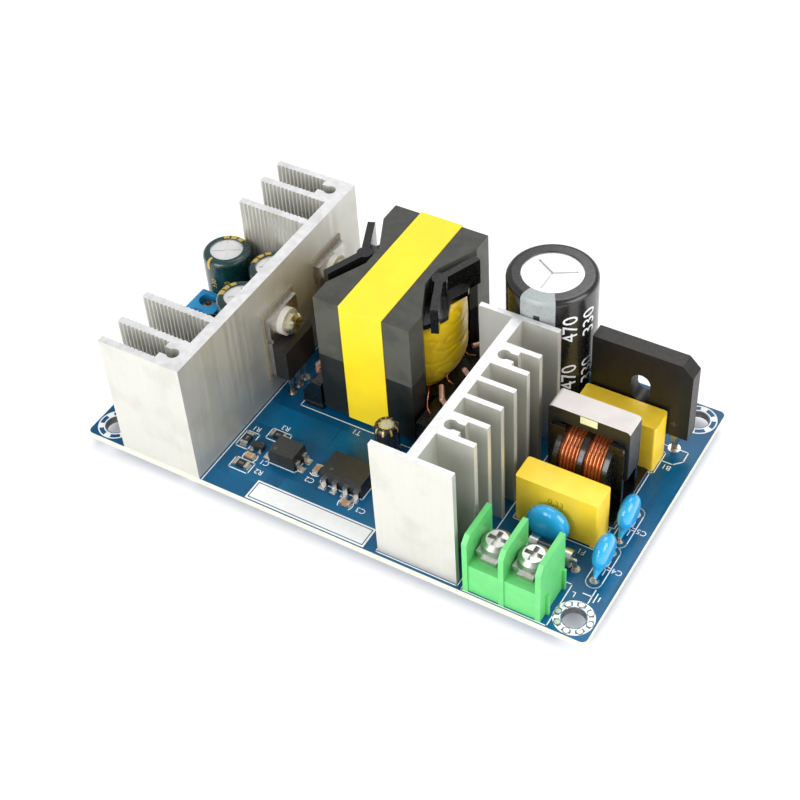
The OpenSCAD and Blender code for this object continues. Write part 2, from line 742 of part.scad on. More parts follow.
module output_heatsink() {
    color([0.78, 0.79, 0.8])
    difference() {
        translate([0, 0, top]) linear_extrude(sink_h) {
            rect([os_inner, os_y0], [os_face, os_y1]);
            ribbed_fin(os_y0, 0, rib_h);
            ribbed_fin(os_y1 - out_fin_t, rib_h, 0);
            for (f = [os_fins[1], os_fins[2]]) {
                ribbed_fin(os_y0 + f, rib_h, rib_h);
                ribbed_fin(os_y1 - f - out_fin_t, rib_h, rib_h);
            }
            channel_boss(os_inner, os_y0 + out_fin_t - eps, os_y0 + out_fin_step + eps, -1);
            channel_boss(os_inner, os_y1 - out_fin_step - eps, os_y1 - out_fin_t + eps, -1);
        }
        device_hole(rectifier_1);
        device_hole(rectifier_2);
    }
}

module primary_heatsink() {
    color([0.78, 0.79, 0.8])
    difference() {
        translate([0, 0, top]) linear_extrude(sink_h) {
            rect([ps_face, ps_y0], [ps_fin, ps_y1]);
            rect([ps_x0, ps_y0], [ps_x1, ps_y0 + pri_fin_t]);
            rect([ps_x0, ps_y1 - pri_fin_t], [ps_x1, ps_y1]);
            for (i = [0 : pri_fins - 1]) {
                y = ps_first + i * pri_fin_pitch;
                rect([ps_fin - eps, y], [ps_x1, y + pri_fin_t]);
            }
            for (y = [ps_first, ps_last])
                channel_boss(ps_fin, y + pri_fin_t - eps, y + pri_fin_pitch + eps, 1);
        }
        device_hole(switch);
    }
}

// Self-tapping screws that come up through the board into the channels
module heatsink_screws() {
    color([0.7, 0.68, 0.6])
    for (p = sink_screws) translate([p[0], p[1], under]) {
        rotate([180, 0, 0]) pan_head(sink_head_d, sink_head_h);
        translate([0, 0, -eps]) cylinder(d = channel_d - 2 * fit, h = board_t + sink_screw_l + eps);
    }
}

// Moves a part drawn on the plane x = 0, facing +X, to a device's mounting face
module on_face(d) {
    translate([d[0], d[1], top]) mirror([d[2] < 0 ? 1 : 0, 0, 0]) children();
}

// Moulded body of a tab package, with a sloped upper edge
module device_body(d) {
    slope = (dev_t - tab_t) * 0.3;
    color([0.1, 0.1, 0.11])
    on_face(d) along_y(-dev_w / 2, dev_w) polygon([
        [tab_x, dev_lift], [dev_front, dev_lift], [dev_front, dev_lift + dev_body_h - slope],
        [dev_front - slope, dev_lift + dev_body_h], [tab_x, dev_lift + dev_body_h]
    ]);
}

// Metal tab with its side notches and hole, and the three flat leads
module device_frame(d) {
    notch = dev_w * 0.1;
    shoulder_w = flat_lead_w * 1.6;
    shoulder_h = dev_lift * 0.55;
    lead_x0 = dev_lead_x - flat_lead_t / 2;
    color([0.72, 0.7, 0.66])
    on_face(d) {
        along_x(pad_t, tab_t) difference() {
            rect([-dev_w / 2, dev_lift], [dev_w / 2, dev_lift + dev_h]);
            for (s = [-1, 1]) translate([s * dev_w / 2, dev_lift + dev_body_h + notch])
                square(notch, center = true);
            translate([0, dev_hole_z - top]) circle(d = tab_hole_d);
        }
        for (i = [-1 : 1]) translate([lead_x0, i * dev_pitch, 0]) {
            block([0, -flat_lead_w / 2, lead_end - top], [flat_lead_t, flat_lead_w / 2, dev_lift]);
            block([0, -shoulder_w / 2, dev_lift - shoulder_h], [flat_lead_t, shoulder_w / 2, dev_lift]);
        }
    }
}

module rectifier_1_body() {
    device_body(rectifier_1);
}

module rectifier_1_frame() {
    device_frame(rectifier_1);
}

module rectifier_2_body() {
    device_body(rectifier_2);
}

module rectifier_2_frame() {
    device_frame(rectifier_2);
}

module switch_body() {
    device_body(switch);
}

module switch_frame() {
    device_frame(switch);
}

// Thin insulating sheets between the tabs and the heatsinks
module insulating_pads() {
    pad_z0 = dev_lift + (dev_h - pad_h) / 2;
    color([0.85, 0.75, 0.5])
    for (d = devices) on_face(d) along_x(0, pad_t) difference() {
        rect([-pad_w / 2, pad_z0], [pad_w / 2, pad_z0 + pad_h]);
        translate([0, dev_hole_z - top]) circle(d = dev_screw_d + 4 * fit);
    }
}

// Shoulder bushes that keep the screws off the tabs
module insulating_bushes() {
    color([0.92, 0.92, 0.9])
    for (d = devices) on_face(d) translate([pad_t, 0, dev_hole_z - top]) rotate([0, 90, 0])
        difference() {
            union() {
                cylinder(d = tab_hole_d - 2 * fit, h = tab_t + eps);
                translate([0, 0, tab_t]) cylinder(d = bush_d, h = bush_t);
            }
            translate([0, 0, -1]) cylinder(d = dev_screw_d + 2 * fit, h = tab_t + bush_t + 2);
        }
}

module device_screws() {
    color([0.8, 0.7, 0.4])
    for (d = devices) on_face(d) translate([-d[3], 0, dev_hole_z - top]) rotate([0, 90, 0]) {
        shank = d[3] + tab_x + bush_t;
        cylinder(d = dev_screw_d, h = shank + eps);
        translate([0, 0, shank]) pan_head(dev_head_d, dev_head_h);
    }
}

// Outline of a core half: full width at both ends, drawn in to a waist between them
module core_outline() {
    end_y = core_l / 2 - core_end;
    quarter = [[waist_w, waist_l] / 2, [core_w / 2, end_y], [core_w, core_l] / 2];
    polygon(concat(
        quarter,
        [for (i = [2 : -1 : 0]) [-quarter[i][0], quarter[i][1]]],
        [for (i = [0 : 2]) -quarter[i]],
        [for (i = [2 : -1 : 0]) [quarter[i][0], -quarter[i][1]]]
    ));
}

// Core half with its back plate down, its two legs and its round post
module core_half() {
    difference() {
        linear_extrude(core_h / 2) core_outline();
        translate([0, 0, core_plate_t]) cylinder(d = window_d, h = core_h);
    }
    cylinder(d = post_d, h = core_h / 2);
}

module transformer_core_lower() {
    color([0.17, 0.18, 0.17])
    translate([tx, ty, core_z0]) core_half();
}

module transformer_core_upper() {
    color([0.24, 0.25, 0.24])
    translate([tx, ty, core_z1]) mirror([0, 0, 1]) core_half();
}

// Claw arms of the top flange: a V on each side that opens away from the core, with a hub
module claw_arms() {
    angle = atan2(arm_spread, arm_reach - arm_root);
    length = norm([arm_spread, arm_reach - arm_root]);
    for (sx = [0, 180]) rotate(sx) translate([arm_root, 0]) {
        circle(arm_w);
        for (sy = [-1, 1]) rotate(sy * angle) rect([0, -arm_w / 2], [length, arm_w / 2]);
    }
}

// Opening in the top flange between the two arms of a claw
module claw_opening() {
    angle = atan2(arm_spread, arm_reach - arm_root);
    open_x = arm_root + 1.5 * arm_w;
    half = (window_d - open_x) * tan(angle);
    for (sx = [0, 180]) rotate(sx) polygon([[open_x, 0], [window_d, -half], [window_d, half]]);
}

module transformer_bobbin() {
    color([0.09, 0.09, 0.1])
    translate([tx, ty, 0]) difference() {
        union() {
            translate([0, 0, flange_z0]) cylinder(r = tube_r, h = flange_z1 - flange_z0);
            translate([0, 0, flange_z0]) cylinder(r = flange_r, h = flange_t);
            translate([0, 0, flange_z1 - flange_t]) linear_extrude(flange_t) difference() {
                circle(flange_r);
                claw_opening();
            }
            translate([0, 0, flange_z1 - flange_t]) linear_extrude(flange_t + arm_h) claw_arms();
            for (s = [0, 1]) mirror([s, 0, 0]) along_y(-rail_l / 2, rail_l) polygon([
                [rail_x0, top], [rail_x1, top], [rail_x1, top + rail_edge_h],
                [pin_x, flange_z0 + flange_t], [rail_x0, flange_z0 + flange_t]
            ]);
        }
        cylinder(r = tube_r - bobbin_wall, h = 2 * core_z1);
        for (s = [-1, 1], y = pin_ys) translate([s * pin_x, y, top - eps])
            cylinder(d = pin_d + 2 * fit, h = pin_seat + fit);
    }
}

module transformer_winding() {
    color([0.85, 0.7, 0.1])
    translate([tx, ty, flange_z0 + flange_t + fit]) difference() {
        length = flange_z1 - flange_z0 - 2 * flange_t - 2 * fit;
        cylinder(d = winding_d, h = length);
        translate([0, 0, -1]) cylinder(r = tube_r + fit, h = length + 2);
    }
}

// Tape band wrapped over the top, the two ends and the underside of the core
module transformer_tape() {
    out = tape_t + fit;
    color([0.98, 0.87, 0.15])
    translate([tx, ty, 0]) along_x(-tape_w / 2, tape_w) difference() {
        rect([-core_l / 2 - out, core_z0 - out], [core_l / 2 + out, core_z1 + out]);
        rect([-core_l / 2 - fit, core_z0 - fit], [core_l / 2 + fit, core_z1 + fit]);
    }
}

module transformer_pins() {
    color([0.75, 0.75, 0.76])
    for (p = pin_pads) translate([p[0], p[1], lead_end]) cylinder(d = pin_d, h = top + pin_seat - lead_end);
}

// Wires from the winding over each rail and down to every second pin
module transformer_lead_wires() {
    start_r = winding_d / 2 + lead_wire_d / 2 + fit;
    edge_x = rail_x1 + lead_wire_d / 2 + fit;
    start_z = flange_z0 + flange_t + 2 * lead_wire_d;
    color([0.75, 0.42, 0.3])
    translate([tx, ty, 0]) for (s = [0, 1], i = [1 : 2 : pin_count - 2]) mirror([s, 0, 0]) {
        angle = asin(pin_ys[i] * 0.7 / start_r);
        bent_wire([
            [start_r * cos(angle), start_r * sin(angle), start_z],
            [pin_x, pin_ys[i], start_z - lead_wire_d / 2],
            [edge_x, pin_ys[i], top + rail_edge_h + lead_wire_d],
            [edge_x, pin_ys[i], top + lead_wire_d]
        ], lead_wire_d);
    }
}

// Blind bores for a pair of wire leads in the underside of a part
module lead_bores(pitch, depth) {
    for (s = [-0.5, 0.5]) translate([s * pitch, 0, -eps]) cylinder(d = wire_d + 2 * fit, h = depth + fit);
}

// Half section of a can with a rounded top edge and a crimp groove near its foot
module can_section(r, h, edge_r, groove, groove_r) {
    difference() {
        union() {
            square([r, h - edge_r]);
            square([r - edge_r, h]);
            translate([r - edge_r, h - edge_r]) circle(edge_r);
        }
        translate(groove) circle(groove_r);
    }
}

// Middle of the groove's section, and its radius on the outside of the sleeve
function groove_radius(c) = c[2] * 0.06;
function groove_place(c) = [c[2] / 2 + groove_radius(c) / 2, 4 * groove_radius(c)];

// Aluminium can of an electrolytic capacitor, its top scored to vent
module capacitor_can(c, scores) {
    r = c[2] / 2 - sleeve_t - fit;
    h = c[3] - can_lift - sleeve_t - fit;
    groove_r = groove_radius(c) + sleeve_t + fit;
    score_w = c[2] * 0.03;
    score_h = score_w;
    score_l = c[4] * 0.4;
    color([0.86, 0.86, 0.87])
    translate([c[0], c[1], top + can_lift]) difference() {
        rotate_extrude() can_section(r, h, can_edge_r, groove_place(c), groove_r);
        for (i = [0 : scores - 1]) rotate(30 + i * 360 / scores) translate([0, -score_w / 2, h - score_h])
            cube([score_l, score_w, 1]);
        rotate(c[6]) lead_bores(c[5], lead_seat);
    }
}

// Shrunk plastic sleeve that laps over the can's top edge
module capacitor_sleeve(c, tint) {
    r = c[2] / 2;
    h = c[3] - can_lift;
    groove = groove_place(c);
    groove_r = groove_radius(c);
    color(tint)
    translate([c[0], c[1], top + can_lift]) rotate_extrude() difference() {
        can_section(r, h, can_edge_r + sleeve_t, groove, groove_r);
        can_section(r - sleeve_t, h - sleeve_t, can_edge_r, groove, groove_r + sleeve_t);
        translate([0, -1]) square([c[4] / 2, h + 2]);
    }
}

bulk_tint = [0.08, 0.08, 0.09];
output_tint = [0.07, 0.24, 0.24];

module bulk_capacitor_can() {
    capacitor_can(bulk_cap, 3);
}

module bulk_capacitor_sleeve() {
    capacitor_sleeve(bulk_cap, bulk_tint);
}

module output_capacitor_1_can() {
    capacitor_can(out_cap_1, 4);
}

module output_capacitor_1_sleeve() {
    capacitor_sleeve(out_cap_1, output_tint);
}

module output_capacitor_2_can() {
    capacitor_can(out_cap_2, 4);
}

module output_capacitor_2_sleeve() {
    capacitor_sleeve(out_cap_2, output_tint);
}

module output_capacitor_3_can() {
    capacitor_can(out_cap_3, 4);
}

module output_capacitor_3_sleeve() {
    capacitor_sleeve(out_cap_3, output_tint);
}

module supply_capacitor_can() {
    capacitor_can(supply_cap, 4);
}

module supply_capacitor_sleeve() {
    capacitor_sleeve(supply_cap, bulk_tint);
}

// Leads of the capacitors, chokes, disc parts and bridge rectifier
module component_leads() {
    color([0.74, 0.74, 0.75]) {
        for (p = wire_pads) translate([p[0], p[1], lead_end])
            cylinder(d = wire_d, h = top + can_lift + lead_seat - lead_end);
        for (p = bridge_pads) translate([p[0], p[1], 0]) bridge_lead();
        for (y = [disc_1_y, disc_2_y], s = [-1, 1])
            disc_lead([disc_x, y], 90, s, disc_d, disc_pitch, disc_lift);
        for (s = [-1, 1]) disc_lead([surge_x, surge_y], 0, s, surge_d, surge_pitch, surge_lift);
    }
}

// Path of a disc part's lead: up from below the board, then bent inwards to enter the disc
function disc_path(s, d, pitch, lift) = [
    [s * pitch / 2, 0, lead_end], [s * pitch / 2, 0, top + lift * 0.5],
    [s * d * 0.22, 0, top + lift + d * 0.2]
];

module disc_lead(place, angle, s, d, pitch, lift) {
    translate([place[0], place[1], 0]) rotate(angle) bent_wire(disc_path(s, d, pitch, lift), wire_d);
}

// Coated disc with a rounded rim, standing on edge, whose coating runs down its leads
module coated_disc(place, angle, d, t, pitch, lift) {
    rim = t * 0.42;
    crown = t / 2 - rim;
    coat_d = wire_d + t * 0.16;
    translate([place[0], place[1], 0]) rotate(angle) difference() {
        union() {
            translate([0, 0, top + lift + d / 2]) rotate([90, 0, 0]) rotate_extrude() {
                intersection() {
                    union() {
                        translate([0, -rim]) square([d / 2 - rim, 2 * rim]);
                        translate([d / 2 - rim, 0]) circle(rim);
                        polygon([
                            [0, -t / 2], [d / 4, -t / 2], [d / 2 - rim, -rim],
                            [d / 2 - rim, rim], [d / 4, t / 2], [0, t / 2]
                        ]);
                    }
                    square([d, t + crown], center = true);
                    translate([0, -t]) square([d, 2 * t]);
                }
            }
            for (s = [-1, 1]) {
                path = disc_path(s, d, pitch, lift);
                taper_rod(path[1] * 0.8 + path[2] * 0.2, path[2], coat_d, t * 0.7);
            }
        }
        for (s = [-1, 1]) disc_lead_bore(disc_path(s, d, pitch, lift));
    }
}

// Clearance for a lead inside a coated disc
module disc_lead_bore(path) {
    reach = (path[2] - path[1]) / norm(path[2] - path[1]) * fit;
    rod(path[1], path[2] + reach, wire_d * 1.06 + 2 * fit);
}

module disc_capacitor_1() {
    color([0.16, 0.55, 0.85])
    coated_disc([disc_x, disc_1_y], 90, disc_d, disc_t, disc_pitch, disc_lift);
}

module disc_capacitor_2() {
    color([0.16, 0.55, 0.85])
    coated_disc([disc_x, disc_2_y], 90, disc_d, disc_t, disc_pitch, disc_lift);
}

module surge_absorber() {
    color([0.1, 0.5, 0.82])
    coated_disc([surge_x, surge_y], 0, surge_d, surge_t, surge_pitch, surge_lift);
}

// Box of a film capacitor, on two feet, with bores for its leads
module film_box(x, y) {
    foot_w = film_l * 0.08;
    translate([x, y, top]) difference() {
        linear_extrude(film_h) round_rect([-film_l, -film_t] / 2, [film_l, film_t] / 2, film_r);
        block([foot_w - film_l / 2, -film_t, -1], [film_l / 2 - foot_w, film_t, can_lift]);
        lead_bores(film_pitch, can_lift + lead_seat);
    }
}

module film_capacitor_1() {
    color([0.95, 0.75, 0.15])
    film_box(film_1_x, film_1_y);
}

module film_capacitor_2() {
    color([0.95, 0.75, 0.15])
    film_box(film_2_x, film_2_y);
}

// Half of the choke's closed core: half slab, one leg and half of the inner leg
module choke_core_half(side) {
    translate([choke_x, 0, 0]) along_y(choke_y - choke_core_t / 2, choke_core_t) intersection() {
        difference() {
            round_rect([-choke_w / 2, choke_leg_z0], [choke_w / 2, choke_z1], choke_corner_r);
            rect(
                [choke_leg - choke_w / 2, choke_leg_z0 + choke_slab],
                [choke_w / 2 - choke_leg, choke_z1 - choke_slab]
            );
        }
        rect([side < 0 ? -choke_w : 0, 0], [side < 0 ? 0 : choke_w, 2 * choke_z1]);
    }
}

module choke_core_left() {
    color([0.45, 0.43, 0.41])
    choke_core_half(-1);
}

module choke_core_right() {
    color([0.45, 0.43, 0.41])
    choke_core_half(1);
}

// Plate across the coil axis: round at the top and square where it meets the base
module choke_flange(x) {
    r = choke_coil_d / 2 + choke_wire_d;
    along_x(x, choke_flange_t) {
        translate([0, choke_axis]) circle(r);
        rect([-r, top], [r, choke_axis]);
    }
}

// Bobbin of the line choke: base, tube, three flanges and a cheek beside each leg
module choke_bobbin() {
    cheek_y = choke_core_t / 2 + bobbin_gap;
    cheek_top = choke_z1 - choke_slab - bobbin_gap;
    cheek_x = choke_w / 2 - choke_leg * 0.25;
    cheek_r = choke_leg * 0.5;
    color([0.08, 0.08, 0.09])
    translate([choke_x, choke_y, 0]) difference() {
        union() {
            block(
                [-choke_w / 2, -choke_base_d / 2, top],
                [choke_w / 2, choke_base_d / 2, top + choke_base_t]
            );
            for (x = [-choke_win_x0, -choke_flange_t / 2, choke_win_x0 - choke_flange_t]) choke_flange(x);
            translate([-choke_win_x0, 0, choke_axis]) rotate([0, 90, 0])
                cylinder(r = choke_tube_r, h = 2 * choke_win_x0);
            for (sx = [0, 1], sy = [0, 1]) mirror([sx, 0, 0]) mirror([0, sy, 0])
                along_y(cheek_y, bobbin_wall) {
                    rect([choke_win_x0 - choke_flange_t, top], [cheek_x - cheek_r, cheek_top]);
                    rect([choke_win_x0 - choke_flange_t, top], [cheek_x, cheek_top - cheek_r]);
                    translate([cheek_x - cheek_r, cheek_top - cheek_r]) circle(cheek_r);
                }
        }
        block(
            [-choke_w, -choke_core_t / 2 - bobbin_gap, choke_leg_z0 - bobbin_gap],
            [choke_w, choke_core_t / 2 + bobbin_gap, choke_leg_z0 + choke_slab + bobbin_gap]
        );
        for (sx = [-1, 1], sy = [-1, 1]) translate([sx * choke_pin_x, sy * choke_pin_y, 0])
            cylinder(d = wire_d + 2 * fit, h = 2 * top);
    }
}

// Coil of round wire: the outer layer shows one bulge for each turn
module choke_coil(side) {
    length = choke_coil_x[1] - choke_coil_x[0];
    turns = floor(length / choke_wire_d);
    r = choke_coil_d / 2 - choke_wire_d / 2;
    start = (length - turns * choke_wire_d) / 2;
    color([0.72, 0.36, 0.16])
    translate([choke_x, choke_y, choke_axis]) mirror([side < 0 ? 1 : 0, 0, 0])
        translate([choke_coil_x[0], 0, 0]) rotate([0, 90, 0]) rotate_extrude() {
            translate([choke_tube_r + fit, 0]) square([r - choke_tube_r - fit, length]);
            for (i = [0 : turns - 1]) translate([r, start + (i + 0.5) * choke_wire_d])
                circle(d = choke_wire_d);
        }
}

module choke_winding_1() {
    choke_coil(-1);
}

module choke_winding_2() {
    choke_coil(1);
}

module fuse_tube() {
    tube_d = fuse_d - fuse_wall;
    color([0.2, 0.22, 0.22])
    translate([fuse_x - fuse_l / 2 + fuse_wall, fuse_y, top + fuse_axis_h]) rotate([0, 90, 0])
        difference() {
            cylinder(d = tube_d, h = fuse_l - 2 * fuse_wall);
            translate([0, 0, -1]) cylinder(d = tube_d - 2 * fuse_wall, h = fuse_l + 2);
        }
}

// Metal caps over the tube's ends, each with its lead bent down through the board
module fuse_end_caps() {
    tube_d = fuse_d - fuse_wall;
    z = top + fuse_axis_h;
    color([0.78, 0.78, 0.8])
    translate([fuse_x, fuse_y, 0]) for (s = [0, 1]) mirror([s, 0, 0]) {
        translate([fuse_l / 2 - fuse_cap_l, 0, z]) rotate([0, 90, 0]) difference() {
            cylinder(d = fuse_d, h = fuse_cap_l);
            translate([0, 0, -1]) cylinder(d = tube_d + 2 * fit, h = fuse_cap_l - fuse_wall + fit + 1);
        }
        bent_wire([
            [fuse_l / 2 - fuse_wall / 2, 0, z], [fuse_pitch / 2, 0, z], [fuse_pitch / 2, 0, lead_end]
        ], wire_d);
    }
}

// Flat body with a cut corner and an oblong screw hole
module bridge_rectifier_body() {
    z0 = top + bridge_lift;
    hole_z = z0 + bridge_h * 0.51;
    hole_r = bridge_hole_w / 2;
    run = bridge_hole_h / 2 - hole_r;
    color([0.1, 0.095, 0.09])
    translate([bridge_x, 0, 0]) along_y(bridge_y - bridge_t / 2, bridge_t) difference() {
        polygon([
            [-bridge_w / 2, z0], [bridge_w / 2, z0], [bridge_w / 2, z0 + bridge_h - bridge_cut],
            [bridge_w / 2 - bridge_cut, z0 + bridge_h], [-bridge_w / 2, z0 + bridge_h]
        ]);
        for (s = [-1, 1]) translate([0, hole_z + s * run]) circle(hole_r);
        rect([-hole_r, hole_z - run], [hole_r, hole_z + run]);
    }
}

// One flat lead of the bridge rectifier, wider where it leaves the body
module bridge_lead() {
    shoulder_w = bridge_lead_w * 1.6;
    shoulder_z = top + bridge_lift * 0.5;
    z1 = top + bridge_lift;
    translate([0, -flat_lead_t / 2, 0]) {
        block([-bridge_lead_w / 2, 0, lead_end], [bridge_lead_w / 2, flat_lead_t, z1]);
        block([-shoulder_w / 2, 0, shoulder_z], [shoulder_w / 2, flat_lead_t, z1]);
    }
}

// Places its children at both wire positions of the input terminal
module at_wires() {
    for (x = term_xs) translate([x, 0, top]) children();
}

// Green housing: a block with a ledge and three tall dividing walls
module input_terminal_housing() {
    half = term_pitch + term_wall / 2;
    chamfer = term_wall * 1.3;
    rib_w = term_wall * 0.6;
    color([0.45, 0.8, 0.45])
    difference() {
        union() {
            translate([term_x, 0, top]) {
                block([-half, term_y0 + term_wall / 4, 0], [half, term_y1, term_ledge_h]);
                for (x = [-half, -term_wall / 2, half - term_wall]) along_x(x, term_wall) polygon([
                    [term_y0, 0], [term_y1, 0], [term_y1, term_h],
                    [term_y0 + chamfer, term_h], [term_y0, term_h - chamfer]
                ]);
                for (y = [term_y0 + 2 * term_wall, term_y1 - term_wall])
                    block([half - eps, y, 0], [half + rib_w, y + rib_w, term_ledge_h * 0.75]);
            }
        }
        at_wires() {
            translate([0, term_screw_y, term_ledge_h - term_bore])
                cylinder(d = term_screw_d + 2 * fit, h = term_h);
            block(
                [-blade_w / 2 - fit, term_pin_y - blade_t / 2 - fit, -1],
                [blade_w / 2 + fit, term_pin_y + blade_t / 2 + fit, term_ledge_h + 1]
            );
        }
    }
}

// Contact plates on the ledge, each with a front tongue and a pin down through the board
module input_terminal_contacts() {
    plate_w = clamp_w * 0.9;
    tongue_w = clamp_w * 0.55;
    tongue_y = term_y0 + 2 * term_wall;
    plate_y = term_screw_y - clamp_w / 2;
    pin_back = term_pin_y + blade_t / 2;
    z1 = term_ledge_h + contact_t;
    color([0.8, 0.8, 0.8])
    at_wires() difference() {
        union() {
            block([-plate_w / 2, plate_y, term_ledge_h], [plate_w / 2, pin_back, z1]);
            block([-tongue_w / 2, tongue_y, term_ledge_h], [tongue_w / 2, plate_y + eps, z1]);
            block([-blade_w / 2, pin_back - blade_t, lead_end - top], [blade_w / 2, pin_back, z1 - eps]);
        }
        translate([0, term_screw_y, 0]) cylinder(d = term_screw_d + 2 * fit, h = term_h);
    }
}

module input_terminal_clamps() {
    z = term_ledge_h + contact_t;
    color([0.82, 0.82, 0.82])
    at_wires() difference() {
        translate([-clamp_w / 2, term_screw_y - clamp_w / 2, z]) cube([clamp_w, clamp_w, clamp_t]);
        translate([0, term_screw_y, 0]) cylinder(d = term_screw_d + 2 * fit, h = term_h);
    }
}

module input_terminal_screws() {
    z = term_ledge_h + contact_t + clamp_t;
    tip = term_ledge_h - term_bore + 2 * fit;
    color([0.82, 0.82, 0.82])
    at_wires() translate([0, term_screw_y, 0]) {
        translate([0, 0, tip]) cylinder(d = term_screw_d, h = z - tip + eps);
        translate([0, 0, z]) pan_head(term_head_d, term_head_h);
    }
}

// Places its children at both wire positions of the output terminal, at its left face
module at_outputs() {
    for (y = out_term_ys) translate([out_term_x0, y, top]) children();
}

// Blue housing: screw holes from above, wire mouths on the left, cage rooms open below
module output_terminal_housing() {
    chamfer = cage_wall;
    room = cage_y + cage_room;
    window_h = cage_h - 2 * cage_wall;
    color([0.16, 0.5, 0.85])
    difference() {
        translate([out_term_x0, 0, top]) along_y(out_term_y1 - out_term_l, out_term_l) polygon([
            [0, 0], [out_term_d, 0], [out_term_d, out_term_h],
            [chamfer, out_term_h], [0, out_term_h - chamfer]
        ]);
        at_outputs() {
            block([cage_x0 - cage_room, -room, -1], [cage_x1 + cage_room, room, cage_h + cage_room]);
            block([-1, cage_wall - room, 2 * cage_wall], [cage_x0, room - cage_wall, window_h]);
            translate([out_term_d / 2, 0, cage_h]) cylinder(d = out_term_hole_d, h = out_term_h);
        }
    }
}

// Metal cages with a window for the wire, a tapped top and a pin
module output_terminal_cages() {
    window_h = cage_h - 2 * cage_wall;
    color([0.8, 0.65, 0.4])
    at_outputs() difference() {
        union() {
            block([cage_x0, -cage_y, cage_wall], [cage_x1, cage_y, cage_h]);
            block(
                [out_term_d / 2 - blade_t / 2, -blade_w / 2, lead_end - top],
                [out_term_d / 2 + blade_t / 2, blade_w / 2, cage_wall + eps]
            );
        }
        block([-1, cage_wall - cage_y, 2 * cage_wall], [out_term_d + 1, cage_y - cage_wall, window_h]);
        translate([out_term_d / 2, 0, 2 * cage_wall]) cylinder(d = out_screw_d + 2 * fit, h = out_term_h);
    }
}

module output_terminal_screws() {
    head_d = out_term_hole_d - 2 * cage_room;
    head_h = cage_wall * 2;
    tip = cage_h - 2 * cage_wall;
    head_z = out_term_h - out_screw_drop - head_h;
    color([0.8, 0.5, 0.35])
    at_outputs() translate([out_term_d / 2, 0, 0]) {
        translate([0, 0, tip]) cylinder(d = out_screw_d, h = head_z - tip + eps);
        translate([0, 0, head_z]) pan_head(head_d, head_h);
    }
}

// Ferrite drum of the output choke, held in its sleeve
module output_choke_core() {
    r = out_choke_d / 2 - sleeve_t - fit;
    h = out_choke_h - can_lift;
    color([0.3, 0.29, 0.29])
    translate([out_choke_x, out_choke_y, top + can_lift]) difference() {
        cylinder(r = r, h = h - sleeve_t);
        lead_bores(out_cap_pitch, lead_seat);
    }
}

module output_choke_sleeve() {
    h = out_choke_h - can_lift;
    color([0.09, 0.08, 0.08])
    translate([out_choke_x, out_choke_y, top + can_lift]) difference() {
        cylinder(d = out_choke_d, h = h);
        translate([0, 0, -1]) cylinder(d = out_choke_d - 2 * sleeve_t, h = h + 2);
    }
}

// Moulded chip body drawn across X and Z, with an upright band where the leads come out
module chip_body(length, width, height) {
    lift = height * 0.06;
    band = height * 0.1;
    mid = height / 2;
    draft = height * 0.06;
    side = width / 2;
    along_x(-length / 2, length) polygon([
        [draft - side, lift], [side - draft, lift], [side, mid - band], [side, mid + band],
        [side - draft, height], [draft - side, height], [-side, mid + band], [-side, mid - band]
    ]);
}

// One gull-wing lead that leaves a body at x = 0 and ends on the board
module gull_lead(height, w) {
    t = height * 0.07;
    knee = t * 2.4;
    foot = t * 4;
    mid = height / 2;
    along_y(-w / 2, w) polygon([
        [0, mid - t / 2], [knee - t, mid - t / 2], [knee - t, 0], [knee + foot, 0],
        [knee + foot, t], [knee, t], [knee, mid + t / 2], [0, mid + t / 2]
    ]);
}

// Places a part on the board
module on_board(p) {
    translate([p[0], p[1], top]) rotate(p[2]) children();
}

module optocoupler_body() {
    color([0.12, 0.12, 0.13])
    on_board(opto_place) rotate(90) chip_body(opto_w, opto_l, ic_h);
}

module controller_body() {
    color([0.12, 0.12, 0.13])
    on_board(ic_place) chip_body(ic_l, ic_w, ic_h);
}

module reference_body() {
    color([0.12, 0.12, 0.13])
    on_board(reference_place) chip_body(ref_l, ref_w, ref_h);
}

module chip_leads() {
    lead_w = ic_pitch * 0.45;
    ref_step = ref_l * 0.33;
    ref_lead_w = ref_l * 0.15;
    color([0.78, 0.78, 0.8]) {
        on_board(ic_place) for (s = [-90, 90], i = [-1.5 : 1.5])
            rotate(s) translate([ic_w / 2, i * ic_pitch, 0]) gull_lead(ic_h, lead_w);
        on_board(opto_place) for (s = [0, 180], i = [-0.5, 0.5])
            rotate(s) translate([opto_l / 2, i * ic_pitch, 0]) gull_lead(ic_h, lead_w);
        on_board(reference_place) for (a = [[-90, ref_step], [-90, -ref_step], [90, 0]])
            rotate(a[0]) translate([ref_w / 2, a[1], 0]) gull_lead(ref_h, ref_lead_w);
    }
}

module chip_resistors() {
    color([0.12, 0.12, 0.12])
    for (p = resistors) on_board(p) linear_extrude(chip_t) square([chip_r_l, chip_r_w], center = true);
}

module chip_capacitors() {
    color([0.7, 0.55, 0.38])
    for (p = capacitors) on_board(p) linear_extrude(chip_t) square([chip_c_l, chip_c_w], center = true);
}

circuit_board();
solder_joints();
output_heatsink();
primary_heatsink();
heatsink_screws();
rectifier_1_body();
rectifier_1_frame();
rectifier_2_body();
rectifier_2_frame();
switch_body();
switch_frame();
insulating_pads();
insulating_bushes();
device_screws();
transformer_core_upper();
transformer_core_lower();
transformer_bobbin();
transformer_winding();
transformer_tape();
transformer_pins();
transformer_lead_wires();
bulk_capacitor_can();
bulk_capacitor_sleeve();
output_capacitor_1_can();
output_capacitor_1_sleeve();
output_capacitor_2_can();
output_capacitor_2_sleeve();
output_capacitor_3_can();
output_capacitor_3_sleeve();
supply_capacitor_can();
supply_capacitor_sleeve();
component_leads();
film_capacitor_1();
film_capacitor_2();
choke_core_left();
choke_core_right();
choke_bobbin();
choke_winding_1();
choke_winding_2();
disc_capacitor_1();
disc_capacitor_2();
surge_absorber();
fuse_tube();
fuse_end_caps();
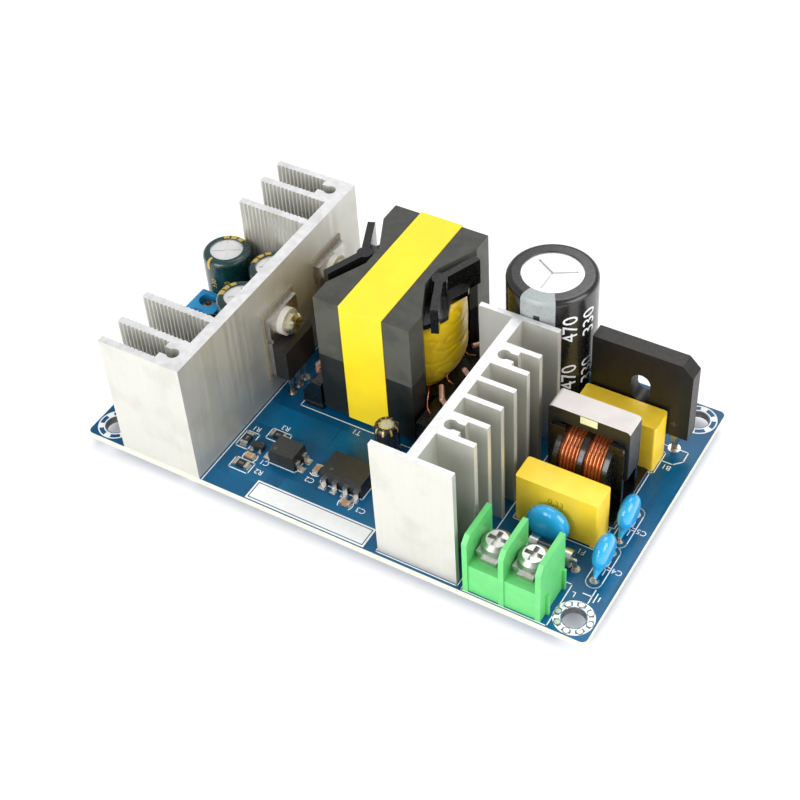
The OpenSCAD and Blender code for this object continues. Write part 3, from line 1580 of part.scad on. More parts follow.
bridge_rectifier_body();
input_terminal_housing();
input_terminal_contacts();
input_terminal_clamps();
input_terminal_screws();
output_terminal_housing();
output_terminal_cages();
output_terminal_screws();
output_choke_core();
output_choke_sleeve();
optocoupler_body();
controller_body();
reference_body();
chip_leads();
chip_resistors();
chip_capacitors();
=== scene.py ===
import json
import math

import bmesh
import bpy
from mathutils import Matrix, Vector, noise as patterns


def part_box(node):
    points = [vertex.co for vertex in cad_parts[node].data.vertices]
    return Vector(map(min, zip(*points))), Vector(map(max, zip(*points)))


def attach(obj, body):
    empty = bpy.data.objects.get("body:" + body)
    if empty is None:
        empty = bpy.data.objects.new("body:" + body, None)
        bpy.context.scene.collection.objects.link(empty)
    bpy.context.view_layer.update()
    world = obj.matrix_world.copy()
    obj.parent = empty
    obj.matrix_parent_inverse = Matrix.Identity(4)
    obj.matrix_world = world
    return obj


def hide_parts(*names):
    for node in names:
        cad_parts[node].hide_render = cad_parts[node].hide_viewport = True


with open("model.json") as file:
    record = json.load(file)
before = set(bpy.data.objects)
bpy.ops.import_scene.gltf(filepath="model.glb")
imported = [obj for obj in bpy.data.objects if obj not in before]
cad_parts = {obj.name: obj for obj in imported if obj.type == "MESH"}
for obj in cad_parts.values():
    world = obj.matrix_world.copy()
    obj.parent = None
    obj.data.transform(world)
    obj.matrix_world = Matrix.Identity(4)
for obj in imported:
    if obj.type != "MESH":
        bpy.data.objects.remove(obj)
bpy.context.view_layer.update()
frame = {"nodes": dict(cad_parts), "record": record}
nodes = frame["nodes"]

MM = 0.001
board_low, board_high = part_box("circuit_board")
BOARD_L = (board_high.x - board_low.x) / MM
BOARD_W = (board_high.y - board_low.y) / MM
BOARD_T = (board_high.z - board_low.z) / MM
mount = next(m for m in frame["record"]["mounts"] if m["name"] == "board_holes")
HOLE_R = mount["dims"]["hole_r_mm"]
INSET_X = (BOARD_L - mount["dims"]["spacing_x_mm"]) / 2
INSET_Y = (BOARD_W - mount["dims"]["spacing_y_mm"]) / 2
hole_places = [(x, y) for x in (INSET_X, BOARD_L - INSET_X) for y in (INSET_Y, BOARD_W - INSET_Y)]
EARTH_HOLE = hole_places[2]
PRINT_T = 0.02
LINE_W = 0.22


def at(x, y, z=0.0):
    """A point in metres, from millimetres off the board's front left corner, z above its top face."""
    return Vector((board_low.x + x * MM, board_low.y + y * MM, board_high.z + z * MM))


def spot(node):
    """Middle of a node's plan and its top, in millimetres as at() takes them, and its half widths."""
    low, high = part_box(node)
    x = ((low.x + high.x) / 2 - board_low.x) / MM
    y = ((low.y + high.y) / 2 - board_low.y) / MM
    z = (high.z - board_high.z) / MM
    return x, y, z, (high.x - low.x) / 2 / MM, (high.y - low.y) / 2 / MM


# Materials

def noise(tree, scale, stretch=(1, 1, 1), detail=4.0):
    """A noise pattern in the part's own frame, in grains per metre, stretched along its axes."""
    place = tree.nodes.new("ShaderNodeTexCoord")
    mapping = tree.nodes.new("ShaderNodeMapping")
    mapping.inputs["Scale"].default_value = stretch
    pattern = tree.nodes.new("ShaderNodeTexNoise")
    pattern.inputs["Scale"].default_value = scale
    pattern.inputs["Detail"].default_value = detail
    tree.links.new(place.outputs["Object"], mapping.inputs["Vector"])
    tree.links.new(mapping.outputs["Vector"], pattern.inputs["Vector"])
    return pattern.outputs["Fac"]


def spread(tree, value, low, high):
    """Maps the middle of a noise pattern onto the range from low to high."""
    ranged = tree.nodes.new("ShaderNodeMapRange")
    ranged.inputs["From Min"].default_value = 0.3
    ranged.inputs["From Max"].default_value = 0.7
    ranged.inputs["To Min"].default_value = low
    ranged.inputs["To Max"].default_value = high
    tree.links.new(value, ranged.inputs["Value"])
    return ranged.outputs["Result"]


def blend_colors(tree, factor, first, second):
    """Mixes two colours by a pattern; each is a colour or the output of a node."""
    mix = tree.nodes.new("ShaderNodeMix")
    mix.data_type = "RGBA"
    for socket, shade in (("A", first), ("B", second)):
        if isinstance(shade, tuple):
            mix.inputs[socket].default_value = (*shade, 1)
        else:
            tree.links.new(shade, mix.inputs[socket])
    tree.links.new(factor, mix.inputs["Factor"])
    return mix.outputs["Result"]


def facing_level(tree, limit):
    """1 on faces that face up or down, 0 on upright ones."""
    place = tree.nodes.new("ShaderNodeTexCoord")
    parts = tree.nodes.new("ShaderNodeSeparateXYZ")
    size = tree.nodes.new("ShaderNodeMath")
    size.operation = "ABSOLUTE"
    test = tree.nodes.new("ShaderNodeMath")
    test.operation = "GREATER_THAN"
    test.inputs[1].default_value = limit
    tree.links.new(place.outputs["Normal"], parts.inputs["Vector"])
    tree.links.new(parts.outputs["Z"], size.inputs[0])
    tree.links.new(size.outputs["Value"], test.inputs[0])
    return test.outputs["Value"]


def surface(name, color, rough, metal=0.0, vary=0.12, grain=400, stretch=(1, 1, 1), rough_vary=0.06,
            bump=0.0, bump_grain=1500, bump_depth=0.05, coat=0.0, specular=0.5, side=None, level_limit=0.5,
            stain=None, stain_grain=120, stain_most=0.6):
    """A material whose colour, roughness and relief vary by noise.

    side is its colour on upright faces, stain the colour of larger patches over both.
    """
    made = bpy.data.materials.new(name)
    made.use_nodes = True
    tree = made.node_tree
    shader = tree.nodes["Principled BSDF"]
    dark = tuple(c * (1 - vary) for c in color)
    light = tuple(min(1.0, c * (1 + vary)) for c in color)
    pattern = noise(tree, grain, stretch)
    shade = blend_colors(tree, spread(tree, pattern, 0, 1), dark, light)
    if side:
        shade = blend_colors(tree, facing_level(tree, level_limit), side, shade)
    if stain:
        patches = spread(tree, noise(tree, stain_grain, detail=8.0), -stain_most, stain_most)
        shade = blend_colors(tree, patches, shade, stain)
    tree.links.new(shade, shader.inputs["Base Color"])
    gloss = spread(tree, noise(tree, grain * 1.7, stretch), rough - rough_vary, rough + rough_vary)
    tree.links.new(gloss, shader.inputs["Roughness"])
    shader.inputs["Metallic"].default_value = metal
    shader.inputs["Coat Weight"].default_value = coat
    shader.inputs["Coat Roughness"].default_value = 0.12
    shader.inputs["Specular IOR Level"].default_value = specular
    if bump:
        relief = tree.nodes.new("ShaderNodeBump")
        relief.inputs["Strength"].default_value = bump
        relief.inputs["Distance"].default_value = bump_depth * MM
        tree.links.new(noise(tree, bump_grain, stretch), relief.inputs["Height"])
        tree.links.new(relief.outputs["Normal"], shader.inputs["Normal"])
    return made


UPRIGHT = (1, 1, 0.03)
CREAM = (0.64, 0.65, 0.55)
board_mask = surface("solder_mask", (0.002, 0.085, 0.2), 0.28, vary=0.25, grain=60, rough_vary=0.05,
                     bump=0.1, bump_grain=500, specular=0.25, side=CREAM)
copper_under_mask = surface("mask_over_copper", (0.003, 0.105, 0.23), 0.26, vary=0.2, grain=90,
                            specular=0.25)
lower_copper = surface("mask_over_tracks", (0.006, 0.17, 0.34), 0.26, vary=0.2, grain=90, specular=0.3)
tin = surface("tin", (0.56, 0.55, 0.53), 0.32, 1.0, grain=900, bump=0.15, bump_grain=1200)
solder = surface("solder", (0.54, 0.53, 0.52), 0.28, 1.0, grain=500, bump=0.25, bump_grain=800)
# Upright faces get a darker, greener colour: painted shade on the fins' sides. The stain patches are
# smudges.
aluminium = surface("extruded_aluminium", (0.78, 0.78, 0.79), 0.5, 0.7, vary=0.09, grain=700,
                    stretch=UPRIGHT, rough_vary=0.08, bump=0.12, bump_grain=1500, bump_depth=0.02,
                    side=(0.64, 0.635, 0.59), stain=(0.44, 0.43, 0.39), stain_grain=140, stain_most=0.3)
hole_wall = surface("hole_wall", (0.2, 0.2, 0.19), 0.4, 1.0, vary=0.2, grain=900)
can_metal = surface("can_aluminium", (0.86, 0.86, 0.86), 0.42, 0.8, vary=0.03, grain=200)
steel = surface("zinc_steel", (0.5, 0.5, 0.48), 0.34, 1.0, vary=0.2, grain=500, bump=0.25, bump_grain=700)
gold_zinc = surface("yellow_zinc", (0.62, 0.57, 0.4), 0.3, 1.0, grain=700, bump=0.15)
moulding = surface("moulding", (0.018, 0.018, 0.017), 0.42, vary=0.2, grain=1200, bump=0.2, bump_grain=2600)
bridge_moulding = surface("bridge_moulding", (0.009, 0.0075, 0.006), 0.45, vary=0.25, grain=900, bump=0.25,
                          bump_grain=2400)
insulator = surface("insulator", (0.3, 0.26, 0.19), 0.4, vary=0.1, grain=900, specular=0.3)
white_plastic = surface("white_plastic", (0.72, 0.69, 0.62), 0.4, vary=0.04, grain=700)
# Upright faces get a lighter grey: a painted reflection on the upper core half's sides.
ferrite = surface("ferrite", (0.042, 0.043, 0.036), 0.4, vary=0.25, grain=500, bump=0.2, bump_grain=900,
                  side=(0.078, 0.08, 0.062), stain=(0.02, 0.022, 0.02), stain_grain=150)
# Painted shade: a much darker copy of the ferrite above, used for the lower core half and the output choke's
# core.
shaded_ferrite = surface("ferrite_in_painted_shade", (0.007, 0.009, 0.007), 0.34, vary=0.3, grain=500, bump=0.2,
                       bump_grain=900, stain=(0.02, 0.022, 0.018), stain_grain=150)
choke_ferrite = surface("choke_ferrite", (0.58, 0.54, 0.52), 0.36, vary=0.05, grain=300, bump=0.1,
                        side=(0.009, 0.009, 0.008), level_limit=0.3)
black_plastic = surface("black_plastic", (0.005, 0.005, 0.005), 0.24, vary=0.3, grain=800, bump=0.1,
                        coat=0.4)
core_tape = surface("core_tape", (0.9, 0.68, 0.012), 0.34, vary=0.05, grain=120, bump=0.5, bump_grain=130,
                    bump_depth=0.3, coat=0.3)
winding_tape = surface("winding_tape", (0.95, 0.64, 0.006), 0.34, vary=0.1, grain=170, bump=0.3,
                       bump_grain=260, bump_depth=0.15, coat=0.3, stain=(0.75, 0.4, 0.01), stain_grain=200)
copper = surface("enamelled_copper", (0.55, 0.17, 0.06), 0.26, 0.8, vary=0.2, grain=700, coat=0.4)
lead_copper = surface("sleeved_wire", (0.62, 0.34, 0.26), 0.3, 0.2, vary=0.2, grain=300, coat=0.3)
black_sleeve = surface("black_sleeve", (0.008, 0.008, 0.008), 0.26, vary=0.2, grain=500, coat=0.3)
teal_sleeve = surface("teal_sleeve", (0.004, 0.034, 0.034), 0.26, vary=0.2, grain=500, coat=0.3)
film_box = surface("film_box", (0.95, 0.65, 0.04), 0.36, vary=0.06, grain=300, bump=0.15, bump_grain=1400)
blue_coating = surface("blue_coating", (0.02, 0.36, 0.72), 0.15, vary=0.08, grain=200, bump=0.25,
                       bump_grain=300, bump_depth=0.15, coat=0.5)
fuse_body = surface("fuse_tube", (0.012, 0.02, 0.022), 0.2, vary=0.2, grain=600, coat=0.3)
green_plastic = surface("green_plastic", (0.11, 0.54, 0.15), 0.36, vary=0.05, grain=400, bump=0.12)
blue_plastic = surface("blue_plastic", (0.012, 0.26, 0.55), 0.32, vary=0.05, grain=400, bump=0.12)
cage_metal = surface("cage_brass", (0.6, 0.34, 0.2), 0.3, 1.0, grain=600)
chip_resistor = surface("chip_resistor", (0.012, 0.012, 0.012), 0.35, vary=0.2, grain=900)
chip_capacitor = surface("chip_capacitor", (0.42, 0.24, 0.11), 0.5, vary=0.1, grain=900)
white_print = surface("white_print", (0.8, 0.82, 0.83), 0.5, vary=0.03, grain=900)
grey_print = surface("grey_print", (0.32, 0.35, 0.35), 0.3, vary=0.05, grain=900)
gold_print = surface("gold_print", (0.6, 0.42, 0.08), 0.35, 0.3, vary=0.1, grain=900)
dark_print = surface("dark_print", (0.012, 0.012, 0.012), 0.5, vary=0.1, grain=900)
faint_print = surface("faint_print", (0.07, 0.068, 0.062), 0.5, vary=0.1, grain=900)
amber_print = surface("amber_print", (0.5, 0.27, 0.01), 0.45, vary=0.1, grain=900)
pale_tape = surface("pale_tape", (0.84, 0.8, 0.48), 0.4, vary=0.06, grain=300, bump=0.3, bump_grain=400)
fuse_band = surface("fuse_band", (0.62, 0.3, 0.05), 0.25, 0.4, vary=0.1, grain=500, coat=0.4)

PAINT = {
    "circuit_board": board_mask, "solder_joints": solder, "output_heatsink": aluminium,
    "primary_heatsink": aluminium, "heatsink_screws": steel, "insulating_pads": insulator,
    "insulating_bushes": white_plastic, "device_screws": gold_zinc,
    "transformer_core_upper": ferrite, "transformer_core_lower": shaded_ferrite,
    "transformer_bobbin": black_plastic, "transformer_winding": winding_tape,
    "transformer_tape": core_tape, "transformer_pins": tin, "transformer_lead_wires": lead_copper,
    "bulk_capacitor_can": can_metal, "bulk_capacitor_sleeve": black_sleeve,
    "supply_capacitor_can": can_metal, "supply_capacitor_sleeve": black_sleeve,
    "component_leads": tin, "film_capacitor_1": film_box, "film_capacitor_2": film_box,
    "choke_core_left": choke_ferrite, "choke_core_right": choke_ferrite, "choke_bobbin": black_plastic,
    "choke_winding_1": copper, "choke_winding_2": copper, "disc_capacitor_1": blue_coating,
    "disc_capacitor_2": blue_coating, "surge_absorber": blue_coating, "fuse_tube": fuse_body,
    "fuse_end_caps": tin, "bridge_rectifier_body": bridge_moulding,
    "input_terminal_housing": green_plastic, "input_terminal_contacts": tin,
    "input_terminal_clamps": steel, "input_terminal_screws": steel,
    "output_terminal_housing": blue_plastic, "output_terminal_cages": cage_metal,
    "output_terminal_screws": cage_metal, "output_choke_core": shaded_ferrite,
    "output_choke_sleeve": black_sleeve, "optocoupler_body": moulding, "controller_body": moulding,
    "reference_body": moulding, "chip_leads": tin, "chip_resistors": chip_resistor,
    "chip_capacitors": chip_capacitor,
}
for device in ("rectifier_1", "rectifier_2", "switch"):
    PAINT[device + "_body"] = moulding
    PAINT[device + "_frame"] = tin
for number in "123":
    PAINT[f"output_capacitor_{number}_can"] = can_metal
    PAINT[f"output_capacitor_{number}_sleeve"] = teal_sleeve
for name, look in PAINT.items():
    nodes[name].data.materials.clear()
    nodes[name].data.materials.append(look)


# Tools that make pieces

def new_piece(name, build, look, slot, *choices):
    """A mesh piece on the one body, filled by a function, in a material; its slot of the record is not used.
    """
    grid = bmesh.new()
    build(grid, *choices)
    bmesh.ops.recalc_face_normals(grid, faces=grid.faces)
    mesh = bpy.data.meshes.new(name)
    grid.to_mesh(mesh)
    grid.free()
    mesh.materials.append(look)
    piece = bpy.data.objects.new(name, mesh)
    bpy.context.scene.collection.objects.link(piece)
    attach(piece, "root")
    return piece


def plate(grid, low, high):
    """A closed plate between two rings of points in metres."""
    bottom = [grid.verts.new(p) for p in low]
    lid = [grid.verts.new(p) for p in high]
    grid.faces.new(lid)
    grid.faces.new(list(reversed(bottom)))
    for i in range(len(low)):
        j = (i + 1) % len(low)
        grid.faces.new((bottom[i], bottom[j], lid[j], lid[i]))


def prism(grid, outline, z0=0.0, z1=PRINT_T):
    """A plate on the board: an outline in board millimetres, from z0 up to z1."""
    plate(grid, [at(x, y, z0) for x, y in outline], [at(x, y, z1) for x, y in outline])


def full_turn(count):
    """Even angles round a circle."""
    return [2 * math.pi * i / count for i in range(count)]


def stroke(grid, a, b, width=LINE_W, z0=0.0, z1=PRINT_T):
    """A straight line on the board, printed unless its width and heights say otherwise."""
    a = Vector(a)
    b = Vector(b)
    ahead = (b - a).normalized() * width / 2
    side = Vector((-ahead.y, ahead.x))
    prism(grid, [a - ahead - side, b + ahead - side, b + ahead + side, a - ahead + side], z0, z1)


def closed_line(grid, points):
    """A printed line through points and back to the first."""
    for a, b in zip(points, points[1:] + points[:1]):
        stroke(grid, a, b)


def rounded(x0, y0, x1, y1, r, steps=6):
    """Outline of a rectangle with round corners."""
    points = []
    centres = ((x1 - r, y1 - r), (x0 + r, y1 - r), (x0 + r, y0 + r), (x1 - r, y0 + r))
    for quarter, (x, y) in enumerate(centres):
        for i in range(steps + 1):
            angle = math.radians(90 * (quarter + i / steps))
            points.append((x + r * math.cos(angle), y + r * math.sin(angle)))
    return points


def sector(grid, x, y, r0, r1, a0, a1, z0=0.0, z1=PRINT_T, step=6):
    """A piece of a ring between two angles in degrees, as short closed plates."""
    count = max(1, round((a1 - a0) / step))
    for i in range(count):
        turns = [math.radians(a0 + (a1 - a0) * (i + k) / count) for k in (0, 1)]
        ring = [(r0, turns[0]), (r1, turns[0]), (r1, turns[1]), (r0, turns[1])]
        prism(grid, [(x + r * math.cos(t), y + r * math.sin(t)) for r, t in ring], z0, z1)


def solids(node):
    """Plan boxes of a node's separate solids in board millimetres: x0, y0, x1, y1, z0, z1."""
    mesh = nodes[node].data
    owner = {}

    def leader(key):
        while owner.setdefault(key, key) != key:
            key = owner[key]
        return key

    keys = [tuple(round(c, 6) for c in v.co) for v in mesh.vertices]
    for edge in mesh.edges:
        owner[leader(keys[edge.vertices[0]])] = leader(keys[edge.vertices[1]])
    groups = {}
    for key in keys:
        groups.setdefault(leader(key), []).append(key)
    boxes = []
    for points in groups.values():
        low = [min(p[i] for p in points) for i in range(3)]
        high = [max(p[i] for p in points) for i in range(3)]
        boxes.append((
            (low[0] - board_low.x) / MM, (low[1] - board_low.y) / MM,
            (high[0] - board_low.x) / MM, (high[1] - board_low.y) / MM,
            (low[2] - board_high.z) / MM, (high[2] - board_high.z) / MM,
        ))
    return sorted(boxes)


def letters(grid, words, size, place):
    """Flat letters: place(u, v, t) sets each point from its millimetres along, up and out of the letters."""
    curve = bpy.data.curves.new("letters", "FONT")
    curve.body = words
    curve.size = size
    curve.align_x = "CENTER"
    curve.align_y = "CENTER"
    curve.resolution_u = 3
    curve.extrude = 1.0
    holder = bpy.data.objects.new("letters", curve)
    shape = bpy.data.meshes.new_from_object(holder)
    part = bmesh.new()
    part.from_mesh(shape)
    bmesh.ops.remove_doubles(part, verts=part.verts, dist=0.0001)
    # Letters are cut into small cells, so that place() can bend them round a sleeve.
    cut = -size * len(words) / 2
    while cut < size * len(words) / 2:
        everything = part.verts[:] + part.edges[:] + part.faces[:]
        bmesh.ops.bisect_plane(part, geom=everything, plane_co=(0, cut, 0), plane_no=(0, 1, 0))
        bmesh.ops.bisect_plane(part, geom=part.verts[:] + part.edges[:] + part.faces[:],
                               plane_co=(cut, 0, 0), plane_no=(1, 0, 0))
        cut += size / 4
    bmesh.ops.remove_doubles(part, verts=part.verts, dist=0.002)
    for vert in part.verts:
        vert.co = place(vert.co.x, vert.co.y, PRINT_T if vert.co.z > 0 else 0.0)
    part.to_mesh(shape)
    part.free()
    grid.from_mesh(shape)
    bpy.data.objects.remove(holder)
    bpy.data.curves.remove(curve)
    bpy.data.meshes.remove(shape)


def board_mark(grid, words, x, y, size=1.8):
    """A printed mark that is read from the board's back edge."""
    letters(grid, words, size, lambda u, v, t: at(x - u, y - v, t))


# Printed lines and marks on the board

FRAMED = ("film_capacitor_1", "film_capacitor_2", "choke_bobbin", "primary_heatsink", "optocoupler_body",
          "controller_body", "output_terminal_housing")
ROUND = ("bulk_capacitor_sleeve", "output_capacitor_1_sleeve", "output_capacitor_2_sleeve",
         "output_capacitor_3_sleeve", "output_choke_sleeve", "supply_capacitor_sleeve")
BLOCK_X = 40.0
BLOCK_Y = 0.3
BLOCK_L = 28.0
BLOCK_W = 5.1
RIGHT = (1, 0)
BEHIND = (0, 1)
FRONT = (0, -1)
EARTH_X = BOARD_L - 3.6
EARTH_Y = INSET_Y + 6.0


def frame_line(grid, node, room=0.3):
    """A printed rectangle round a node's plan, kept on the board."""
    x, y, _, half_x, half_y = spot(node)
    half_x += room
    half_y += room
    front = max(y - half_y, LINE_W)
    closed_line(grid, rounded(x - half_x, front, x + half_x, y + half_y, 0.1, 1))


def chip_frames(grid):
    """Lines round the chip resistors, brackets round the chip capacitors."""
    room = 0.75
    for x0, y0, x1, y1, _, _ in solids("chip_resistors"):
        closed_line(grid, rounded(x0 - room, y0 - room, x1 + room, y1 + room, 0.2, 1))
    for x0, y0, x1, y1, _, _ in solids("chip_capacitors"):
        x = (x0 + x1) / 2
        y = (y0 + y1) / 2
        wide = x1 - x0 > y1 - y0
        reach = max(x1 - x0, y1 - y0) / 2 + 0.5
        for turn in (0, 180):
            start = turn + (-40 if wide else 50)
            sector(grid, x, y, reach, reach + LINE_W, start, start + 80)


def block_outline(inset, corner):
    """Outline of the bare block, drawn in by an inset."""
    return rounded(BLOCK_X + inset, BLOCK_Y + inset, BLOCK_X + BLOCK_L - inset, BLOCK_Y + BLOCK_W - inset,
                   corner, 1)


def disc_outlines(grid):
    """Long round outlines with a capacitor sign beside the two small discs."""
    past_end = 1.9
    plate_half = 0.6
    plate_gap = 0.3
    for node in ("disc_capacitor_1", "disc_capacitor_2"):
        x, y, _, half_x, half_y = spot(node)
        end = half_y + past_end
        closed_line(grid, rounded(x - half_x, y - end, x + half_x, y + end, half_x * 0.98))
        sign_x = x + half_x * 0.45
        for way in (-1, 1):
            plate_y = y + way * plate_gap
            stroke(grid, (sign_x - plate_half, plate_y), (sign_x + plate_half, plate_y))
            stroke(grid, (sign_x, plate_y), (sign_x, y + way * half_y * 0.5))


def output_signs(grid):
    """A minus and a plus sign beside the output terminal."""
    sign_half = 0.7
    x, y, _, half_x, half_y = spot("output_terminal_housing")
    sign_x = x - half_x - 1.9
    for way in (-1, 1):
        sign_y = y + way * half_y * 0.5
        stroke(grid, (sign_x - sign_half, sign_y), (sign_x + sign_half, sign_y))
    stroke(grid, (sign_x, sign_y - sign_half), (sign_x, sign_y + sign_half))


def bridge_outline(grid):
    """The bridge rectifier's outline, with one corner cut."""
    corner = 1.6
    depth = 4.4
    x, y, _, half_x, _ = spot("bridge_rectifier_body")
    front = y - depth
    closed_line(grid, [
        (x - half_x, front), (x + half_x - corner, front), (x + half_x, front + corner), (x + half_x, y),
        (x - half_x, y),
    ])


def earth_sign(grid):
    """An earth sign at the right edge."""
    bar_gap = 0.75
    stem = 1.8
    for step, half in enumerate((1.7, 1.1, 0.5)):
        x = EARTH_X + bar_gap * step
        stroke(grid, (x, EARTH_Y - half), (x, EARTH_Y + half))
    stroke(grid, (EARTH_X - stem, EARTH_Y), (EARTH_X, EARTH_Y))


def board_prints(grid):
    """Outlines of the parts, a bare block and plain signs."""
    ring_room = 0.15
    chip_frames(grid)
    prism(grid, block_outline(0, 0.05))
    disc_outlines(grid)
    for node in FRAMED:
        frame_line(grid, node)
    for node in ROUND:
        x, y, _, r, _ = spot(node)
        sector(grid, x, y, r + ring_room, r + ring_room + LINE_W, 0, 360)
    output_signs(grid)
    x, y, _, half_x, half_y = spot("transformer_bobbin")
    front = y - half_y - 0.9
    closed_line(grid, rounded(x - half_x - 0.5, front, x + half_x + 0.5, y + half_y + 0.5, 0.1, 1))
    bridge_outline(grid)
    x, y, _, half_x, half_y = spot("input_terminal_housing")
    front = max(y - half_y - 0.1, LINE_W)
    closed_line(grid, rounded(x - half_x - 0.4, front, x + half_x + 0.7, y + half_y + 0.8, 0.1, 1))
    x, y, _, half_x, half_y = spot("output_heatsink")
    side = x + half_x + 0.45
    stroke(grid, (side, max(y - half_y, LINE_W)), (side, y + half_y))
    earth_sign(grid)


def chip_marks(grid, node, letter, sides):
    """A mark beside each chip, on the side given for it."""
    room = 1.3
    for number, (box, (way_x, way_y)) in enumerate(zip(solids(node), sides)):
        x0, y0, x1, y1, _, _ = box
        x = (x0 + x1) / 2 + way_x * ((x1 - x0) / 2 + 2 * room)
        y = (y0 + y1) / 2 + way_y * ((y1 - y0) / 2 + 1.5 * room)
        board_mark(grid, f"{letter}{number + 1}", x, y)


def part_marks(grid):
    """Plain part marks, read from the back edge."""
    chip_marks(grid, "chip_resistors", "R", (BEHIND, RIGHT, BEHIND, BEHIND))
    chip_marks(grid, "chip_capacitors", "C", (RIGHT, FRONT, RIGHT))
    for number, node in enumerate(("disc_capacitor_1", "disc_capacitor_2")):
        x, y, _, half_x, _ = spot(node)
        board_mark(grid, f"C{number + 4}", x + half_x + 1.3, y)
    x, y, _, half_x, _ = spot("bridge_rectifier_body")
    board_mark(grid, "B1", x + half_x - 2.4, y - 5.6)
    x, y, _, half_x, _ = spot("fuse_end_caps")
    board_mark(grid, "F1", x + half_x - 1.2, y + 4.4)
    x, y, _, _, half_y = spot("transformer_bobbin")
    board_mark(grid, "T1", x - 1.8, y - half_y - 2.2)
    x, y, _, half_x, _ = spot("input_terminal_housing")
    for way, words in ((-1, "N"), (1, "L")):
        board_mark(grid, words, x + half_x + 1.9, y + 2.4 + way * 1.5)


new_piece("board_prints", board_prints, white_print, "white_plastic")
new_piece("part_marks", part_marks, white_print, "white_plastic")


def block_line(grid):
    """A thin frame line inside the bare block."""
    closed_line(grid, block_outline(0.5, 0.1))
    for vert in grid.verts:
        vert.co.z += PRINT_T * MM


new_piece("block_line", block_line, board_mask, "board")


# Rings round the mounting holes

VIA_COUNT = 8
WINDOW_COUNT = 6
RING_INNER = HOLE_R + 0.15
RING_R = 4.05


def hole_rings(grid):
    """A white ring with windows round each mounting hole."""
    edge = 0.28
    for x, y in hole_places:
        studded = (x, y) == EARTH_HOLE
        count = VIA_COUNT if studded else WINDOW_COUNT
        half = 7 if studded else 12
        sector(grid, x, y, RING_INNER, RING_INNER + edge, 0, 360)
        sector(grid, x, y, RING_R - edge, RING_R, 0, 360)
        for i in range(count):
            turn = 360 * (i + 0.5) / count
            sector(grid, x, y, RING_INNER + edge, RING_R - edge, turn - half, turn + half)


def hole_plating(grid):
    """The thin plating of the mounting holes."""
    plating = 0.05
    for x, y in hole_places:
        sector(grid, x, y, HOLE_R - plating, HOLE_R, 0, 360, -BOARD_T, 0.0)


def ring_vias(grid, r, z0, z1):
    """Round studs on the ring beside the input terminal."""
    x, y = EARTH_HOLE
    middle_r = (RING_INNER + RING_R) / 2
    for turn in full_turn(VIA_COUNT):
        via_x = x + middle_r * math.cos(turn)
        via_y = y + middle_r * math.sin(turn)
        prism(grid, rounded(via_x - r, via_y - r, via_x + r, via_y + r, r * 0.99), z0, z1)


new_piece("hole_rings", hole_rings, white_print, "white_plastic")
new_piece("hole_plating", hole_plating, hole_wall, "tinned")
new_piece("ring_pads", ring_vias, hole_wall, "tinned", 0.74, 0, 0.05)
new_piece("ring_studs", ring_vias, tin, "tinned", 0.56, 0.05, 0.12)


# Pads and solder on the board's upper face

COVERED = ["transformer_bobbin", "choke_bobbin", "film_capacitor_1", "film_capacitor_2",
           "input_terminal_housing", "output_terminal_housing", "bulk_capacitor_sleeve",
           "output_choke_sleeve", "supply_capacitor_sleeve"]
COVERED += [f"output_capacitor_{number}_sleeve" for number in "123"]


def covered(x, y):
    """Says whether a part that sits on the board hides this place."""
    for node in COVERED:
        mid_x, mid_y, _, half_x, half_y = spot(node)
        if abs(x - mid_x) < half_x and abs(y - mid_y) < half_y:
            return True
    return False


def top_pads(grid):
    """A tinned ring and a low cone of solder round each lead that is open to view."""
    for x0, y0, x1, y1, _, _ in solids("solder_joints"):
        x = (x0 + x1) / 2
        y = (y0 + y1) / 2
        r = (x1 - x0) / 2
        if not covered(x, y):
            foot = 0.0
            for inner, outer, top in ((0.55, 1.15, 0.04), (0.4, 0.9, 0.14), (0.4, 0.65, 0.3)):
                sector(grid, x, y, r * inner, r * outer, 0, 360, foot, top, 20)
                foot = top


def chip_pads(grid):
    """A tinned pad with a little solder under each gull-wing lead and each chip's ends."""
    for x0, y0, x1, y1, z0, _ in solids("chip_leads"):
        if z0 < 0.2:
            prism(grid, rounded(x0 - 0.2, y0 - 0.25, x1 + 0.2, y1 + 0.25, 0.1, 2), 0, 0.05)
    pad_half = 0.42
    for node in ("chip_resistors", "chip_capacitors"):
        for x0, y0, x1, y1, _, _ in solids(node):
            along_x = x1 - x0 > y1 - y0
            for end_x, end_y in ((x0, y0), (x1, y1)):
                x = end_x if along_x else (x0 + x1) / 2
                y = (y0 + y1) / 2 if along_x else end_y
                half_x = pad_half if along_x else (x1 - x0) / 2
                half_y = (y1 - y0) / 2 if along_x else pad_half
                prism(grid, rounded(x - half_x, y - half_y, x + half_x, y + half_y, 0.15, 2), 0, 0.12)


def chip_ends(grid):
    """The plated ends of the chip resistors and capacitors."""
    skin = 0.03
    for node in ("chip_resistors", "chip_capacitors"):
        for x0, y0, x1, y1, _, z1 in solids(node):
            along_x = x1 - x0 > y1 - y0
            band = 0.2 * max(x1 - x0, y1 - y0)
            for i in (0, 1):
                box = [x0 - skin, y0 - skin, x1 + skin, y1 + skin]
                if along_x:
                    box[0 if i else 2] = x1 - band if i else x0 + band
                else:
                    box[1 if i else 3] = y1 - band if i else y0 + band
                prism(grid, rounded(*box, 0.05, 2), 0.02, z1 + skin)


new_piece("top_pads", top_pads, solder, "tinned")
new_piece("chip_pads", chip_pads, solder, "tinned")
new_piece("chip_ends", chip_ends, tin, "tinned")


# Copper areas that show through the mask

